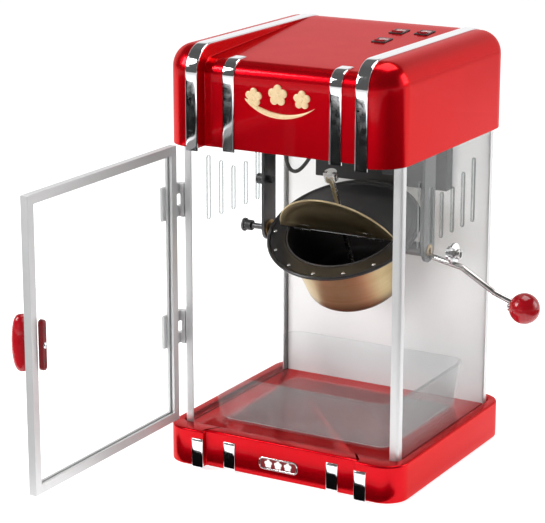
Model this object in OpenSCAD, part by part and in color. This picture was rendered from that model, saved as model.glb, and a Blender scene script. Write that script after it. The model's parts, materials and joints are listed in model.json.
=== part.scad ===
// Tabletop kettle popcorn maker: a red hood and base joined by four aluminium
// corner pillars, clear side panels, a swinging front door, a tilting kettle with
// a crank, and a lift-out tray. Millimetres, +Z up, the front faces -Y, and the
// origin is on the ground under the middle of the cabinet.

/* [Base] */
// Half width of the base
base_half_w = 131.5; // [128:0.5:136]
// Half depth of the base between its two cheeks
base_half_d = 122; // [118:1:124]
// How far the cheeks stand in front of the centre
base_step = 6; // [3:1:10]
// Height of the underside of the base above the ground
foot_h = 3; // [2:0.5:5]
// Height of the top edge of the base
base_top = 41; // [39:1:48]
// Height of the floor that the pillars and the tray stand on
floor_z = 37; // [34:1:38]

/* [Cabinet] */
// Half distance between the outer faces of the pillars, left to right
cab_half_w = 120; // [119:0.5:122]
// Half distance between the outer faces of the pillars, front to back
cab_half_d = 104.5; // [104:0.5:105]
// Width of one leg of a pillar
pillar_leg = 9; // [7:0.5:10]
// Wall of a pillar
pillar_wall = 1.6; // [1.2:0.1:1.8]
// Thickness of the clear panels
panel_t = 2; // [1.5:0.1:2.2]
// Width of a vent slot
vent_w = 6; // [4:0.5:7]

/* [Hood] */
// Height of the hood's lower edge
hood_z = 331; // [326:1:336]
// Height of the top of the hood, without its strips
hood_top = 428.6; // [424:0.2:434]
// Half width of the hood
hood_half_w = 126; // [125:0.5:128]
// Front of the hood's cheeks, distance from the middle
cheek_front = 133; // [131:1:136]
// Front of the hood's recessed centre, distance from the middle
centre_front = 120.5; // [117:0.5:124]
// Back of the hood, distance from the middle
hood_back = 124.6; // [122:0.2:127]
// Half width of the recessed centre
cheek_x = 85; // [84:0.5:86]
// Wall of the hood and of the base
wall = 2.5; // [2:0.1:3]

/* [Strips] */
// Width of a strip
strip_w = 13; // [10:1:14]
// How far the strips stand proud
strip_t = 1.4; // [1:0.1:1.6]

/* [Kettle] */
// Front-to-back place of the kettle's pivot axis
pivot_y = 14; // [13:0.5:15]
// Height of the kettle's pivot axis
pivot_z = 219; // [216:1:222]
// Forward tilt of the kettle as drawn, in degrees
tilt = 26; // [0:1:40]
// Outer radius of the kettle's rim flange
rim_r = 80; // [76:1:81]
// Radius of the kettle's mouth
mouth_r = 61; // [58:1:62]
// Radius of the kettle's bottom
bottom_r = 52; // [48:1:54]
// Depth of the kettle below its pivot axis
kettle_depth = 62; // [58:1:63]
// How far the front lid is flipped up from closed, in degrees
lid_open = 75; // [0:1:90]
// Distance of the hangers from the middle
hanger_x = 91; // [90.5:0.5:93]

/* [Crank] */
// Radius of the crank rod
rod_r = 3; // [2.5:0.5:3]
// Radius of the ball knob
ball_r = 15.5; // [13:0.5:18]
// Drop of the ball below the pivot axis
ball_drop = 42; // [30:1:60]
// How far the ball lies in front of the pivot axis
ball_front = 9; // [0:1:30]

/* [Door] */
// Distance of the door's hinge axis to the left of the middle
hinge_x = 128; // [127:0.5:129]
// Distance of the door's hinge axis in front of the middle
hinge_y = 114; // [113.5:0.5:116]
// Width of the door leaf
door_w = 245; // [240:1:246]
// Height of the door's lower edge
door_z0 = 45; // [44:1:50]
// Height of the door's upper edge
door_z1 = 327; // [320:1:327]
// Width of the door's frame
frame_w = 9; // [7:0.5:12]
// Depth of the door's frame
frame_d = 8; // [6:0.5:8]
// How far the door stands open as drawn, in degrees
door_open = 90; // [0:1:120]

/* [Tray] */
// Half width of the tray at its rim
tray_half_w = 104; // [96:1:106]
// Half depth of the tray at its rim
tray_half_d = 88; // [80:1:92]
// Height of the tray
tray_h = 50; // [40:1:60]

/* [Hidden] */
$fn = 64;

// Colours
red = [0.78, 0.03, 0.05];
chrome = [0.85, 0.85, 0.87];
clear = [0.85, 0.9, 0.92, 0.35];
black = [0.06, 0.06, 0.06];

// Radial play of a shaft in its bore
play = 0.05;
base_corner_r = 24;
hood_corner_r = 30;
hood_side_r = 23;
hood_end_r = 26;
nose_r = 15;
nose_z = hood_top - 27.6;
slope_end_y = 88;
slope = atan((hood_top - nose_z - nose_r) / (slope_end_y + centre_front - nose_r));
// How far the hood's and the base's strips reach below them
strip_drop = 3;
base_strip_drop = 1.5;
base_strip_h = 31;
// Middle of the outer and of the inner strips
outer_strip_x = cheek_x + strip_w / 2;
inner_strip_x = 58;
// How far back the inner strips reach on the hood's top
inner_strip_end = -98;
ceiling_t = 2;
foot_x = 105;
foot_y = 95;
foot_r = 10;
screw_r = 1.5;
panel_x1 = cab_half_w - pillar_wall;
panel_end = cab_half_d - pillar_wall - 0.2;
hanger_t = 3;
hanger_w = 24;
// Thumb screw: height of its axis and radius of its shank
thumb_z = pivot_z + 51;
thumb_r = 2;
bush_r = 6;
block_end = 86;
crank_x0 = 66;
crank_x1 = 138;
crank_x2 = 160;
ball_x = 200;
bend_r = 12;
// Overlap of the crank rod's stretches, so that they join as one solid
lap = 0.1;
lid_axis_y = -11;
lid_axis_z = 16;
pin_r = 1.5;
hinge_h = 34;
hinge_zs = [121, 252];
barrel_r = 4;
// Handle: its middle along the leaf, and its height
handle_u = 238;
handle_z = 187;
switch_spots = [[36, 16], [34, 58], [60, 62]];
lead_r = 2;
lead_ends = [[-68, 6], [-34, 16]];
lamp_spot = [58, 62];
hanger_screw_x = 80;

// ---- shared shapes ----

// Rectangle with round corners, from its lowest to its highest corner
module round_rect(x0, y0, x1, y1, r) {
    translate([x0 + r, y0]) square([x1 - x0 - 2 * r, y1 - y0]);
    translate([x0, y0 + r]) square([x1 - x0, y1 - y0 - 2 * r]);
    for (x = [x0 + r, x1 - r], y = [y0 + r, y1 - r]) translate([x, y]) circle(r);
}

// Rectangle with only its upper corners round
module arch_rect(x0, y0, x1, y1, r) {
    translate([x0, y0]) square([x1 - x0, y1 - y0 - r]);
    translate([x0 + r, y0]) square([x1 - x0 - 2 * r, y1 - y0]);
    for (x = [x0 + r, x1 - r]) translate([x, y1 - r]) circle(r);
}

// Extrudes a shape drawn in Y and Z along X
module along_x(x0, x1) {
    translate([x0, 0, 0]) rotate([90, 0, 90]) linear_extrude(x1 - x0) children();
}

// Extrudes a shape drawn in X and Z along Y
module along_y(y0, y1) {
    translate([0, y1, 0]) rotate([90, 0, 0]) linear_extrude(y1 - y0) children();
}

// Round bar along X
module x_bar(x0, x1, y, z, r) {
    translate([x0, y, z]) rotate([0, 90, 0]) cylinder(r = r, h = x1 - x0);
}

// Round bar along Y
module y_bar(y0, y1, x, z, r) {
    translate([x, y1, z]) rotate([90, 0, 0]) cylinder(r = r, h = y1 - y0);
}

// Round bar upwards
module z_bar(x, y, z0, z1, r) {
    translate([x, y, z0]) cylinder(r = r, h = z1 - z0);
}

module both_sides() {
    children();
    mirror([1, 0, 0]) children();
}

module kettle_place() {
    translate([0, pivot_y, pivot_z]) rotate([tilt, 0, 0]) children();
}

module lid_place() {
    kettle_place() translate([0, lid_axis_y, lid_axis_z]) rotate([-lid_open, 0, 0])
        translate([0, -lid_axis_y, -lid_axis_z]) children();
}

module door_place() {
    translate([-hinge_x, -hinge_y, 0]) rotate([0, 0, -door_open]) children();
}

// ---- base ----

module base_plan(t) {
    x = base_half_w - t;
    y = base_half_d - t;
    difference() {
        round_rect(-x, -(y + base_step), x, y, base_corner_r - t);
        translate([-cheek_x - t, -(y + base_step) - 1]) square([2 * (cheek_x + t), base_step + 1]);
    }
}

module at_feet() {
    for (x = [-foot_x, foot_x], y = [-foot_y, foot_y]) translate([x, y, 0]) children();
}

module base_shell() {
    color(red) difference() {
        union() {
            difference() {
                translate([0, 0, foot_h]) linear_extrude(base_top - foot_h) base_plan(0);
                linear_extrude(floor_z - 3) base_plan(wall);
            }
            at_feet() z_bar(0, 0, foot_h + 2, floor_z - 2, 5);
        }
        translate([0, 0, floor_z]) linear_extrude(10)
            round_rect(-cab_half_w - 2, -cab_half_d - 3, cab_half_w + 2, cab_half_d + 3, 6);
        at_feet() z_bar(0, 0, 0, 18, screw_r);
    }
}

module base_plate() {
    color([0.5, 0.5, 0.5]) translate([0, 0, foot_h]) difference() {
        linear_extrude(2) base_plan(wall + 0.4);
        at_feet() z_bar(0, 0, -1, 3, screw_r + 0.3);
        for (x = [-60:12:60], y = [-24, 24]) translate([x, y, -1]) cylinder(r = 2.5, h = 4);
    }
}

module feet() {
    color(black) at_feet() difference() {
        cylinder(r = foot_r, h = foot_h);
        z_bar(0, 0, -1, foot_h - 1.4, 4.2);
        z_bar(0, 0, -1, foot_h + 1, screw_r + 0.3);
    }
}

module foot_screws() {
    color(chrome) at_feet() {
        z_bar(0, 0, foot_h - 2.4, foot_h - 1.4, 3.6);
        z_bar(0, 0, foot_h - 1.4, 18, screw_r);
    }
}

// Strip on the base's front face at y, reaching a little below the base
module base_strip(x, y) {
    translate([x - strip_w / 2, y - strip_t, foot_h - base_strip_drop])
        cube([strip_w, strip_t, base_strip_h]);
}

module base_strips_outer() {
    color(chrome) both_sides() base_strip(outer_strip_x, -base_half_d - base_step);
}

module base_strips_inner() {
    color(chrome) both_sides() base_strip(inner_strip_x, -base_half_d);
}

// Outline of the badge, moved in by t
module badge_outline(t) {
    round_rect(-24 + t, 12 + t, 20 - t, 25 - t, 5 - t);
}

// Plain badge: a raised rim round a lower plate
module base_badge() {
    rim = 2;
    y = -base_half_d;
    color(chrome) along_y(y - 1.2, y) difference() {
        badge_outline(0);
        badge_outline(rim);
    }
    color([0.6, 0.02, 0.04]) along_y(y - 0.7, y) badge_outline(rim);
}

// ---- cabinet ----

module pillar() {
    x = cab_half_w;
    y = cab_half_d;
    w = pillar_wall;
    r = 3;
    translate([0, 0, floor_z]) linear_extrude(hood_z - floor_z) difference() {
        union() {
            translate([x - pillar_leg, y - pillar_leg]) square([pillar_leg, pillar_leg - r]);
            translate([x - pillar_leg, y - pillar_leg]) square([pillar_leg - r, pillar_leg]);
            translate([x - r, y - r]) circle(r);
        }
        translate([x - pillar_leg - 1, y - pillar_leg - 1])
            square([pillar_leg - w + 1, pillar_leg - w + 1]);
    }
}

module pillars_rear() {
    color([0.75, 0.75, 0.77]) both_sides() pillar();
}

module pillars_front() {
    color([0.75, 0.75, 0.77]) both_sides() mirror([0, 1, 0]) pillar();
}

// Upright slot through a side panel
module vent(y, z1) {
    r = vent_w / 2;
    z0 = 241;
    translate([-1, y - r, z0 + r]) cube([panel_t + 2, vent_w, z1 - z0 - vent_w]);
    x_bar(-1, panel_t + 1, y, z0 + r, r);
    x_bar(-1, panel_t + 1, y, z1 - r, r);
}

module side_panel(hole_r) {
    translate([panel_x1 - panel_t, 0, 0]) difference() {
        translate([0, -panel_end, floor_z]) cube([panel_t, 2 * panel_end, hood_z - floor_z]);
        for (i = [0:2], side = [-1, 1]) vent(side * (12.4 + 24.3 * i), 287 + 10 * i);
        x_bar(-1, panel_t + 1, pivot_y, pivot_z, hole_r);
    }
}

module side_panel_left() {
    color(clear) mirror([1, 0, 0]) side_panel(5.5);
}

module side_panel_right() {
    color(clear) side_panel(7);
}

// Row of air slots in the middle of the back
module louvres(y0, y1) {
    for (i = [0:6]) translate([-30, y0, 286 + 6 * i]) cube([60, y1 - y0, 3]);
}

// Places of the screws that hold the shroud to the back panel
module at_panel_screws() {
    for (x = [-70, 70], z = [276, 322]) translate([x, 0, z]) children();
}

module back_panel() {
    y0 = cab_half_d - pillar_wall - panel_t;
    x = panel_x1 - panel_t - 0.2;
    color([0.93, 0.93, 0.92]) difference() {
        translate([-x, y0, floor_z]) cube([2 * x, panel_t, hood_z - floor_z]);
        louvres(y0 - 1, y0 + panel_t + 1);
        at_panel_screws() y_bar(y0 - 1, y0 + panel_t + 1, 0, 0, screw_r);
    }
}

// ---- hood ----

module hood_plan(t) {
    x = hood_half_w - t;
    round_rect(-x, -cheek_front + t, x, hood_back - t, hood_corner_r - t);
}

// Side outline of a cheek
module cheek_side(t, z0) {
    arch_rect(-cheek_front + t, z0, hood_back - t, hood_top - t, hood_end_r - t);
}

// Side outline of the recessed centre, whose top rises towards the back
module centre_side(t, z0) {
    y0 = -centre_front + t;
    yc = -centre_front + nose_r;
    y1 = hood_back - hood_end_r;
    z1 = hood_top - hood_end_r;
    polygon([[y0, z0], [y0, nose_z], [yc, nose_z], [yc, nose_z + nose_r - t],
        [slope_end_y, hood_top - t], [y1, hood_top - t], [y1, z1], [hood_back - t, z1],
        [hood_back - t, z0]]);
    translate([yc, nose_z]) circle(nose_r - t);
    translate([y1, z1]) circle(hood_end_r - t);
}

// The hood's outer form, moved in by t, down to z0
module hood_form(t, z0) {
    x = hood_half_w - t;
    intersection() {
        translate([0, 0, z0]) linear_extrude(150) hood_plan(t);
        along_y(-200, 200) arch_rect(-x, z0, x, hood_top - t, hood_side_r - t);
        union() {
            along_x(-x, x) centre_side(t, z0);
            both_sides() along_x(cheek_x + t, x) cheek_side(t, z0);
        }
    }
}

function top_z(y) = nose_z + nose_r + (y + centre_front - nose_r) * tan(slope);

module at_switch(i) {
    p = switch_spots[i];
    translate([p[0], p[1], top_z(p[1])]) rotate([slope, 0, 0]) children();
}

module box_at(x, y, z0, z1) {
    translate([-x / 2, -y / 2, z0]) cube([x, y, z1 - z0]);
}

// Outline of the power inlet, moved in by t
module inlet_outline(t) {
    round_rect(-15 + t, 339 + t, 15 - t, 363 - t, 2.5);
}

module hood_shell() {
    color(red) difference() {
        hood_form(0, hood_z);
        hood_form(wall, hood_z - 1);
        for (i = [0:2]) at_switch(i) box_at(13, 17, -10, 10);
        along_y(hood_back - 10, hood_back + 1) inlet_outline(0);
    }
}

module hood_ceiling() {
    t = wall;
    color([0.8, 0.8, 0.8]) translate([0, 0, hood_z]) difference() {
        linear_extrude(ceiling_t) difference() {
            hood_plan(t);
            translate([-cheek_x - t, -cheek_front]) square([2 * (cheek_x + t),
                cheek_front - centre_front + t]);
        }
        z_bar(0, pivot_y, -1, 5, 8);
        z_bar(lamp_spot[0], lamp_spot[1], -1, 5, 12);
        for (p = lead_ends) z_bar(p[0], p[1], -1, 5, 4);
        for (s = [-1, 1], y = [-6, 6])
            z_bar(s * hanger_screw_x, pivot_y + y, -1, 5, screw_r);
    }
}

// Chrome bands that follow the hood's side outline all the way over
module hood_strips_outer() {
    color(chrome) both_sides() along_x(cheek_x, cheek_x + strip_w) difference() {
        union() {
            cheek_side(-strip_t, hood_z);
            translate([-cheek_front - strip_t, hood_z - strip_drop]) square([strip_t, 20]);
        }
        cheek_side(0, hood_z - 10);
    }
}

// Chrome bands up the recessed front that end just over its top edge
module hood_strips_inner() {
    x = inner_strip_x - strip_w / 2;
    color(chrome) both_sides() along_x(x, x + strip_w) intersection() {
        difference() {
            union() {
                centre_side(-strip_t, hood_z);
                translate([-centre_front - strip_t, hood_z - strip_drop]) square([strip_t, 20]);
            }
            centre_side(0, hood_z - 10);
        }
        translate([-150, 300]) square([150 + inner_strip_end, 200]);
    }
}

// Popped kernel: five lobes round a middle
module kernel(size) {
    circle(size * 0.7);
    for (a = [18:72:306]) rotate(a) translate([size * 0.75, 0]) circle(size * 0.55);
}

// Sliver between two circles of the same size, one moved up and aside
module crescent(r, cx, cy, x0, x1) {
    intersection() {
        difference() {
            translate([cx, cy]) circle(r);
            translate([cx + 3, cy + 5]) circle(r);
        }
        translate([x0, cy - r - 1]) square([x1 - x0, r / 2]);
    }
}

// Three popped kernels over a crescent, raised on the hood's front
module hood_ornament() {
    color([0.95, 0.85, 0.6]) along_y(-centre_front - 0.8, -centre_front) {
        translate([-30, 382]) kernel(7);
        translate([-4, 387]) kernel(8);
        translate([22, 385]) kernel(7);
        crescent(66, 0, 430, -40, 36);
    }
}

module switch_bezels() {
    color(black) for (i = [0:2]) at_switch(i) difference() {
        union() {
            box_at(15, 19, 0, 1);
            box_at(13, 17, -4, 1);
        }
        box_at(11.6, 15.6, -5, 5);
    }
}

module switch_bodies() {
    color(black) for (i = [0:2]) at_switch(i) box_at(13, 17, -16, -4);
}

// Rocker button with its pivot barrel, drawn in its off position
module rocker(i) {
    x = 5.3;
    at_switch(i) translate([0, 0, -1.5]) rotate([-7, 0, 0]) {
        along_x(-x, x) polygon([[-7, -1], [7, -1], [7, 3.4], [0, 2.3], [-7, 3.4]]);
        x_bar(-x, x, 0, 0, 1.6);
    }
}

module rocker_light() {
    color(red) rocker(0);
}

module rocker_heat() {
    color(red) rocker(1);
}

module rocker_motor() {
    color(red) rocker(2);
}

// ---- kettle hangers and what is under the hood ----

module hanger(bolt_r) {
    x0 = hanger_x - hanger_t / 2;
    y0 = pivot_y - hanger_w / 2;
    difference() {
        union() {
            translate([x0, y0, pivot_z]) cube([hanger_t, hanger_w, hood_z - pivot_z]);
            x_bar(x0, x0 + hanger_t, pivot_y, pivot_z, hanger_w / 2);
            translate([x0 - 16, y0, hood_z - 2]) cube([17, hanger_w, 2]);
        }
        x_bar(x0 - 1, x0 + hanger_t + 1, pivot_y, pivot_z, bush_r);
        x_bar(x0 - 1, x0 + hanger_t + 1, pivot_y, thumb_z, bolt_r);
        for (y = [-6, 6]) z_bar(hanger_screw_x, pivot_y + y, hood_z - 5, hood_z + 1, screw_r);
    }
}

module hanger_left() {
    color([0.25, 0.25, 0.26]) mirror([1, 0, 0]) hanger(thumb_r + play);
}

module hanger_right() {
    color([0.25, 0.25, 0.26]) hanger(thumb_r + play);
}

module pivot_bushes() {
    x0 = hanger_x - hanger_t / 2;
    color([0.7, 0.55, 0.3]) both_sides() difference() {
        union() {
            x_bar(x0, x0 + hanger_t + 1, pivot_y, pivot_z, bush_r);
            x_bar(x0 - 1.2, x0, pivot_y, pivot_z, bush_r + 3);
        }
        x_bar(x0 - 3, x0 + hanger_t + 3, pivot_y, pivot_z, rod_r + play);
    }
}

module panel_bush() {
    color(chrome) difference() {
        union() {
            x_bar(panel_x1 - 5, panel_x1, pivot_y, pivot_z, 7);
            x_bar(panel_x1, panel_x1 + 2.6, pivot_y, pivot_z, 11);
        }
        x_bar(panel_x1 - 6, panel_x1 + 4, pivot_y, pivot_z, rod_r + play);
    }
}

module pivot_cap() {
    color(black) mirror([1, 0, 0]) difference() {
        union() {
            x_bar(panel_x1 - 8, panel_x1, pivot_y, pivot_z, 5.5);
            x_bar(panel_x1, panel_x1 + 2, pivot_y, pivot_z, 7);
        }
        x_bar(panel_x1 - 9, panel_x1 - 2, pivot_y, pivot_z, rod_r + play);
    }
}

// Clamping screw of the left hanger, kept by its head and its end collar
module thumb_screw() {
    x0 = -hanger_x - hanger_t / 2;
    color(black) {
        x_bar(x0 - 11, x0 - 0.5, pivot_y, thumb_z, 5.5);
        x_bar(x0 - 1, x0 + hanger_t + 3, pivot_y, thumb_z, thumb_r);
        x_bar(x0 + hanger_t + 0.5, x0 + hanger_t + 4, pivot_y, thumb_z, 3.5);
    }
}

// Black air box behind the kettle, open at the back, with a post for each screw
module rear_shroud() {
    x = 76;
    y0 = 87;
    y1 = cab_half_d - pillar_wall - panel_t;
    z0 = 262;
    t = 2;
    color(black) difference() {
        translate([-x, y0, z0]) cube([2 * x, y1 - y0, hood_z - z0]);
        translate([t - x, y0 + t, z0 + t]) cube([2 * (x - t), y1 - y0, hood_z - z0 - 2 * t]);
        louvres(y0 - 1, y0 + t + 1);
    }
    color(black) at_panel_screws() difference() {
        y_bar(y0 + 1.5, y1, 0, 0, 3.5);
        y_bar(y0 + 1, y1 + 1, 0, 0, screw_r);
    }
}

// Points that the heater lead follows, from one gland to the other
lead_points = [[-68, 6, 331], [-68, 6, 318], [-67, 6, 304], [-65, 7, 291], [-61, 9, 284],
    [-55, 11, 284], [-48, 13, 291], [-42, 15, 301], [-37, 16, 312], [-34, 16, 324],
    [-34, 16, 331]];

// A smooth point between the lead's points i and i + 1
function lead_at(i, t) = let (
        n = len(lead_points) - 1,
        p0 = lead_points[max(i - 1, 0)],
        p1 = lead_points[i],
        p2 = lead_points[i + 1],
        p3 = lead_points[min(i + 2, n)]
    ) 0.5 * (2 * p1 + (p2 - p0) * t + (2 * p0 - 5 * p1 + 4 * p2 - p3) * t * t
        + (3 * p1 - p0 - 3 * p2 + p3) * t * t * t);

lead_sides = 8;
lead_path = concat([for (i = [0:len(lead_points) - 2], t = [0, 0.5]) lead_at(i, t)],
    [lead_points[len(lead_points) - 1]]);

function unit(v) = v / norm(v);

// The lead's direction at ring k: straight up or down at its two ends
function lead_dir(k) = let (n = len(lead_path) - 1)
    k == 0 ? [0, 0, -1] : k == n ? [0, 0, 1] : unit(lead_path[k + 1] - lead_path[k - 1]);

// The Y axis is never along the lead, so it gives each ring its sideways direction
function lead_ring(k) = let (d = lead_dir(k), u = unit(cross([0, 1, 0], d)), v = cross(d, u))
    [for (s = [0:lead_sides - 1]) lead_path[k]
        + lead_r * (cos(360 * s / lead_sides) * u + sin(360 * s / lead_sides) * v)];

module heater_lead() {
    rings = len(lead_path);
    n = lead_sides;
    color(black) polyhedron(
        points = [for (k = [0:rings - 1]) each lead_ring(k)],
        faces = concat(
            [[for (s = [0:n - 1]) s]],
            [[for (s = [n - 1:-1:0]) (rings - 1) * n + s]],
            [for (k = [0:rings - 2], s = [0:n - 1])
                [k * n + s, (k + 1) * n + s, (k + 1) * n + (s + 1) % n, k * n + (s + 1) % n]]));
}

module lead_glands() {
    color(black) for (p = lead_ends) difference() {
        union() {
            z_bar(p[0], p[1], hood_z - 5, hood_z, 5.5);
            z_bar(p[0], p[1], hood_z, hood_z + 6, 4);
        }
        z_bar(p[0], p[1], hood_z - 6, hood_z, lead_r + 0.3);
    }
}

module lamp_holder() {
    color(black) translate([lamp_spot[0], lamp_spot[1], 0]) difference() {
        union() {
            z_bar(0, 0, hood_z, hood_z + 26, 12);
            z_bar(0, 0, hood_z - 3, hood_z, 15);
        }
        z_bar(0, 0, hood_z - 4, hood_z + 12, 8);
    }
}

module lamp_bulb() {
    color([1, 0.95, 0.8, 0.6]) translate([lamp_spot[0], lamp_spot[1], 0]) {
        z_bar(0, 0, hood_z - 8, hood_z + 12, 8);
        translate([0, 0, hood_z - 15]) sphere(r = 12);
    }
}

module gearbox() {
    color([0.6, 0.6, 0.6]) difference() {
        translate([-26, pivot_y - 22, hood_z + 12]) cube([52, 60, 20]);
        z_bar(0, pivot_y, hood_z + 11, hood_z + 24, 4 + play);
    }
    color([0.6, 0.6, 0.6]) for (x = [-22, 22], y = [-18, 34])
        z_bar(x, pivot_y + y, hood_z + ceiling_t, hood_z + 12, 3.5);
}

module motor() {
    color([0.3, 0.3, 0.32]) {
        z_bar(0, pivot_y + 18, hood_z + 32, hood_z + 70, 19);
        z_bar(0, pivot_y + 18, hood_z + 70, hood_z + 74, 6);
    }
}

module drive_bush() {
    color([0.7, 0.55, 0.3]) translate([0, pivot_y, hood_z]) difference() {
        union() {
            z_bar(0, 0, -3, 0, 11);
            z_bar(0, 0, 0, 6, 8);
        }
        z_bar(0, 0, -4, 7, 4 + play);
    }
}

// Output shaft with a slotted dog at its lower end
module drive_shaft() {
    top = pivot_z + 85.5;
    color(chrome) difference() {
        union() {
            z_bar(0, pivot_y, top + 6, hood_z + 22, 4);
            z_bar(0, pivot_y, top, top + 10, 7);
        }
        translate([-9, pivot_y - 1.5, top - 1]) cube([18, 3, 4]);
    }
}

module power_inlet() {
    color(black) difference() {
        union() {
            along_y(hood_back - wall - 20, hood_back) inlet_outline(0);
            along_y(hood_back, hood_back + 1.2) inlet_outline(-3);
        }
        along_y(hood_back - 14, hood_back + 3) inlet_outline(3);
    }
    color(chrome) for (x = [-7, 0, 7]) translate([x - 1, hood_back - 14, 346])
        cube([2, 10, 4]);
}

// Pan-head screws of the hangers and of the back panel
module screws() {
    y1 = cab_half_d - pillar_wall;
    color(chrome) {
        for (s = [-1, 1], y = [-6, 6]) {
            z_bar(s * hanger_screw_x, pivot_y + y, hood_z - 3.6, hood_z - 2, 3);
            z_bar(s * hanger_screw_x, pivot_y + y, hood_z - 2, hood_z + 6, screw_r);
        }
        at_panel_screws() {
            y_bar(y1, y1 + 1.6, 0, 0, 3);
            y_bar(89.5, y1, 0, 0, screw_r);
        }
    }
}

// ---- door and its hinges ----

module hinge_plan() {
    circle(barrel_r);
    translate([-2, 0]) square([4, 17]);
    translate([-2, 11]) square([10, 6]);
}

module hinge_blocks() {
    side = hinge_x - cab_half_w;
    color([0.6, 0.6, 0.62]) translate([-hinge_x, -hinge_y, 0]) for (z = hinge_zs) {
        difference() {
            union() {
                for (dz = [0, 23]) translate([0, 0, z + dz]) linear_extrude(11) hinge_plan();
                translate([side - 4, hinge_y - cab_half_d, z]) cube([4, 9, hinge_h]);
            }
            z_bar(0, 0, z - 1, z + hinge_h + 1, 2);
        }
    }
}

module hinge_pins() {
    color(chrome) translate([-hinge_x, -hinge_y, 0]) for (z = hinge_zs) {
        z_bar(0, 0, z, z + hinge_h, 2);
        z_bar(0, 0, z + hinge_h, z + hinge_h + 1.2, 3);
    }
}

module door_knuckles() {
    color([0.6, 0.6, 0.62]) door_place() for (z = hinge_zs) difference() {
        union() {
            z_bar(0, 0, z + 11.4, z + 22.6, barrel_r);
            translate([0, -2.5, z + 11.4]) cube([6, 3, 11.2]);
            translate([5, -2.5, z]) cube([12, 3, hinge_h]);
        }
        z_bar(0, 0, z - 1, z + hinge_h + 1, 2 + play);
    }
}

module door_box(u0, v0, z0, u1, v1, z1) {
    translate([u0, v0, z0]) cube([u1 - u0, v1 - v0, z1 - z0]);
}

module door_frame() {
    u0 = 3;
    u1 = u0 + door_w;
    w = frame_w;
    g = 4;
    color([0.8, 0.8, 0.82]) door_place() difference() {
        door_box(u0, 0.5, door_z0, u1, 0.5 + frame_d, door_z1);
        door_box(u0 + w, -1, door_z0 + w, u1 - w, frame_d + 2, door_z1 - w);
        door_box(u0 + w - g, 3.3, door_z0 + w - g, u1 - w + g, 5.8, door_z1 - w + g);
        for (z = hinge_zs) z_bar(0, 0, z - 1, z + hinge_h + 2, barrel_r + 0.4);
    }
}

module door_pane() {
    u0 = 3 + frame_w - 4;
    z0 = door_z0 + frame_w - 4;
    color(clear) door_place()
        door_box(u0, 3.3, z0, 6 + door_w - u0, 5.8, door_z0 + door_z1 - z0);
}

// Upright oval pull on the outer face of the free stile
module door_handle() {
    color(red) door_place() translate([handle_u, 0.5, handle_z]) difference() {
        union() {
            translate([0, -10, 0]) rotate_extrude() intersection() {
                union() {
                    translate([0, -17]) square([10, 34]);
                    for (z = [-17, 17]) translate([0, z]) circle(10);
                }
                translate([0, -30]) square([12, 60]);
            }
            y_bar(-8, 0, 0, 0, 6);
        }
        door_box(-20, 0, -40, 20, 20, 40);
    }
}

module handle_plate() {
    color([0.45, 0.03, 0.04]) door_place() translate([handle_u - 3.5, 0.5 + frame_d, handle_z])
        along_y(0, 5) round_rect(-3.7, -24, 3.7, 24, 3.6);
}

module magnet_catch() {
    x0 = cab_half_w - pillar_leg - 12;
    color([0.3, 0.3, 0.3]) translate([x0, -cab_half_d - 0.4, hood_z - 10]) cube([12, 10, 10]);
}

// ---- tray ----

module tray_plan(t, inset) {
    round_rect(-tray_half_w + t + inset, -tray_half_d + t + inset, tray_half_w - t - inset,
        tray_half_d - t - inset, 16);
}

// Clear tray: a straight bin under a wider rim
module tray() {
    z0 = floor_z + 0.3;
    color([0.9, 0.93, 0.95, 0.4]) translate([0, 0, z0]) difference() {
        union() {
            hull() {
                linear_extrude(1) tray_plan(0, 6);
                translate([0, 0, tray_h - 3]) linear_extrude(1) tray_plan(0, 1.5);
            }
            translate([0, 0, tray_h - 3]) linear_extrude(3) tray_plan(0, 0);
        }
        hull() {
            translate([0, 0, 2]) linear_extrude(1) tray_plan(2, 6);
            translate([0, 0, tray_h]) linear_extrude(1) tray_plan(2, 1.5);
        }
    }
}

// ---- kettle ----

// Half outline of a round pot: wide mouth at z1, round lower corner of radius r, floor at z0
module pot_outline(top_r, low_r, z0, z1, r) {
    polygon([[0, z0], [low_r - r, z0], [low_r - r, z0 + r], [low_r, z0 + r], [top_r, z1], [0, z1]]);
    translate([low_r - r, z0 + r]) intersection() {
        circle(r);
        translate([-min(r, low_r - r), -r]) square([2 * r, r]);
    }
}

module pot_solid(t, z0, z1, drop) {
    rotate_extrude() pot_outline(mouth_r - t, bottom_r - t, z0, z1, drop);
}

module kettle_jacket() {
    color([0.8, 0.75, 0.68]) kettle_place() difference() {
        pot_solid(0, -kettle_depth, 11, 12);
        pot_solid(1.2, -kettle_depth + 1.2, 12, 11);
    }
}

module kettle_pot() {
    color([0.3, 0.25, 0.2]) kettle_place() difference() {
        pot_solid(1.2, -kettle_depth + 7, 13.5, 9);
        pot_solid(2.8, -kettle_depth + 8.6, 15, 8);
    }
}

// Flat flange round the mouth, with a raised outer bead
module kettle_rim() {
    color(black) kettle_place() difference() {
        union() {
            translate([0, 0, 11]) cylinder(r = rim_r, h = 2.5);
            translate([0, 0, 11]) rotate_extrude() translate([rim_r - 2, 0]) square([2, 3.5]);
        }
        translate([0, 0, 10]) cylinder(r = mouth_r - 1.2, h = 6);
    }
}

module half_disc(r, y0, back) {
    intersection() {
        circle(r);
        translate([-r, back ? y0 : -r]) square([2 * r, back ? r - y0 : r + y0]);
    }
}

module rear_lid() {
    color(black) kettle_place() {
        difference() {
            translate([0, 0, 13.5]) linear_extrude(1.5) half_disc(70, -8, true);
            z_bar(0, 0, 10, 20, 6);
        }
        for (x = [-50, 42]) difference() {
            union() {
                x_bar(x, x + 8, lid_axis_y, lid_axis_z, 2.5);
                translate([x, lid_axis_y, 15]) cube([8, 6, 1.5]);
                translate([x, -8, 13.5]) cube([8, 4, 2]);
            }
            x_bar(x - 1, x + 9, lid_axis_y, lid_axis_z, pin_r);
        }
    }
}

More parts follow.
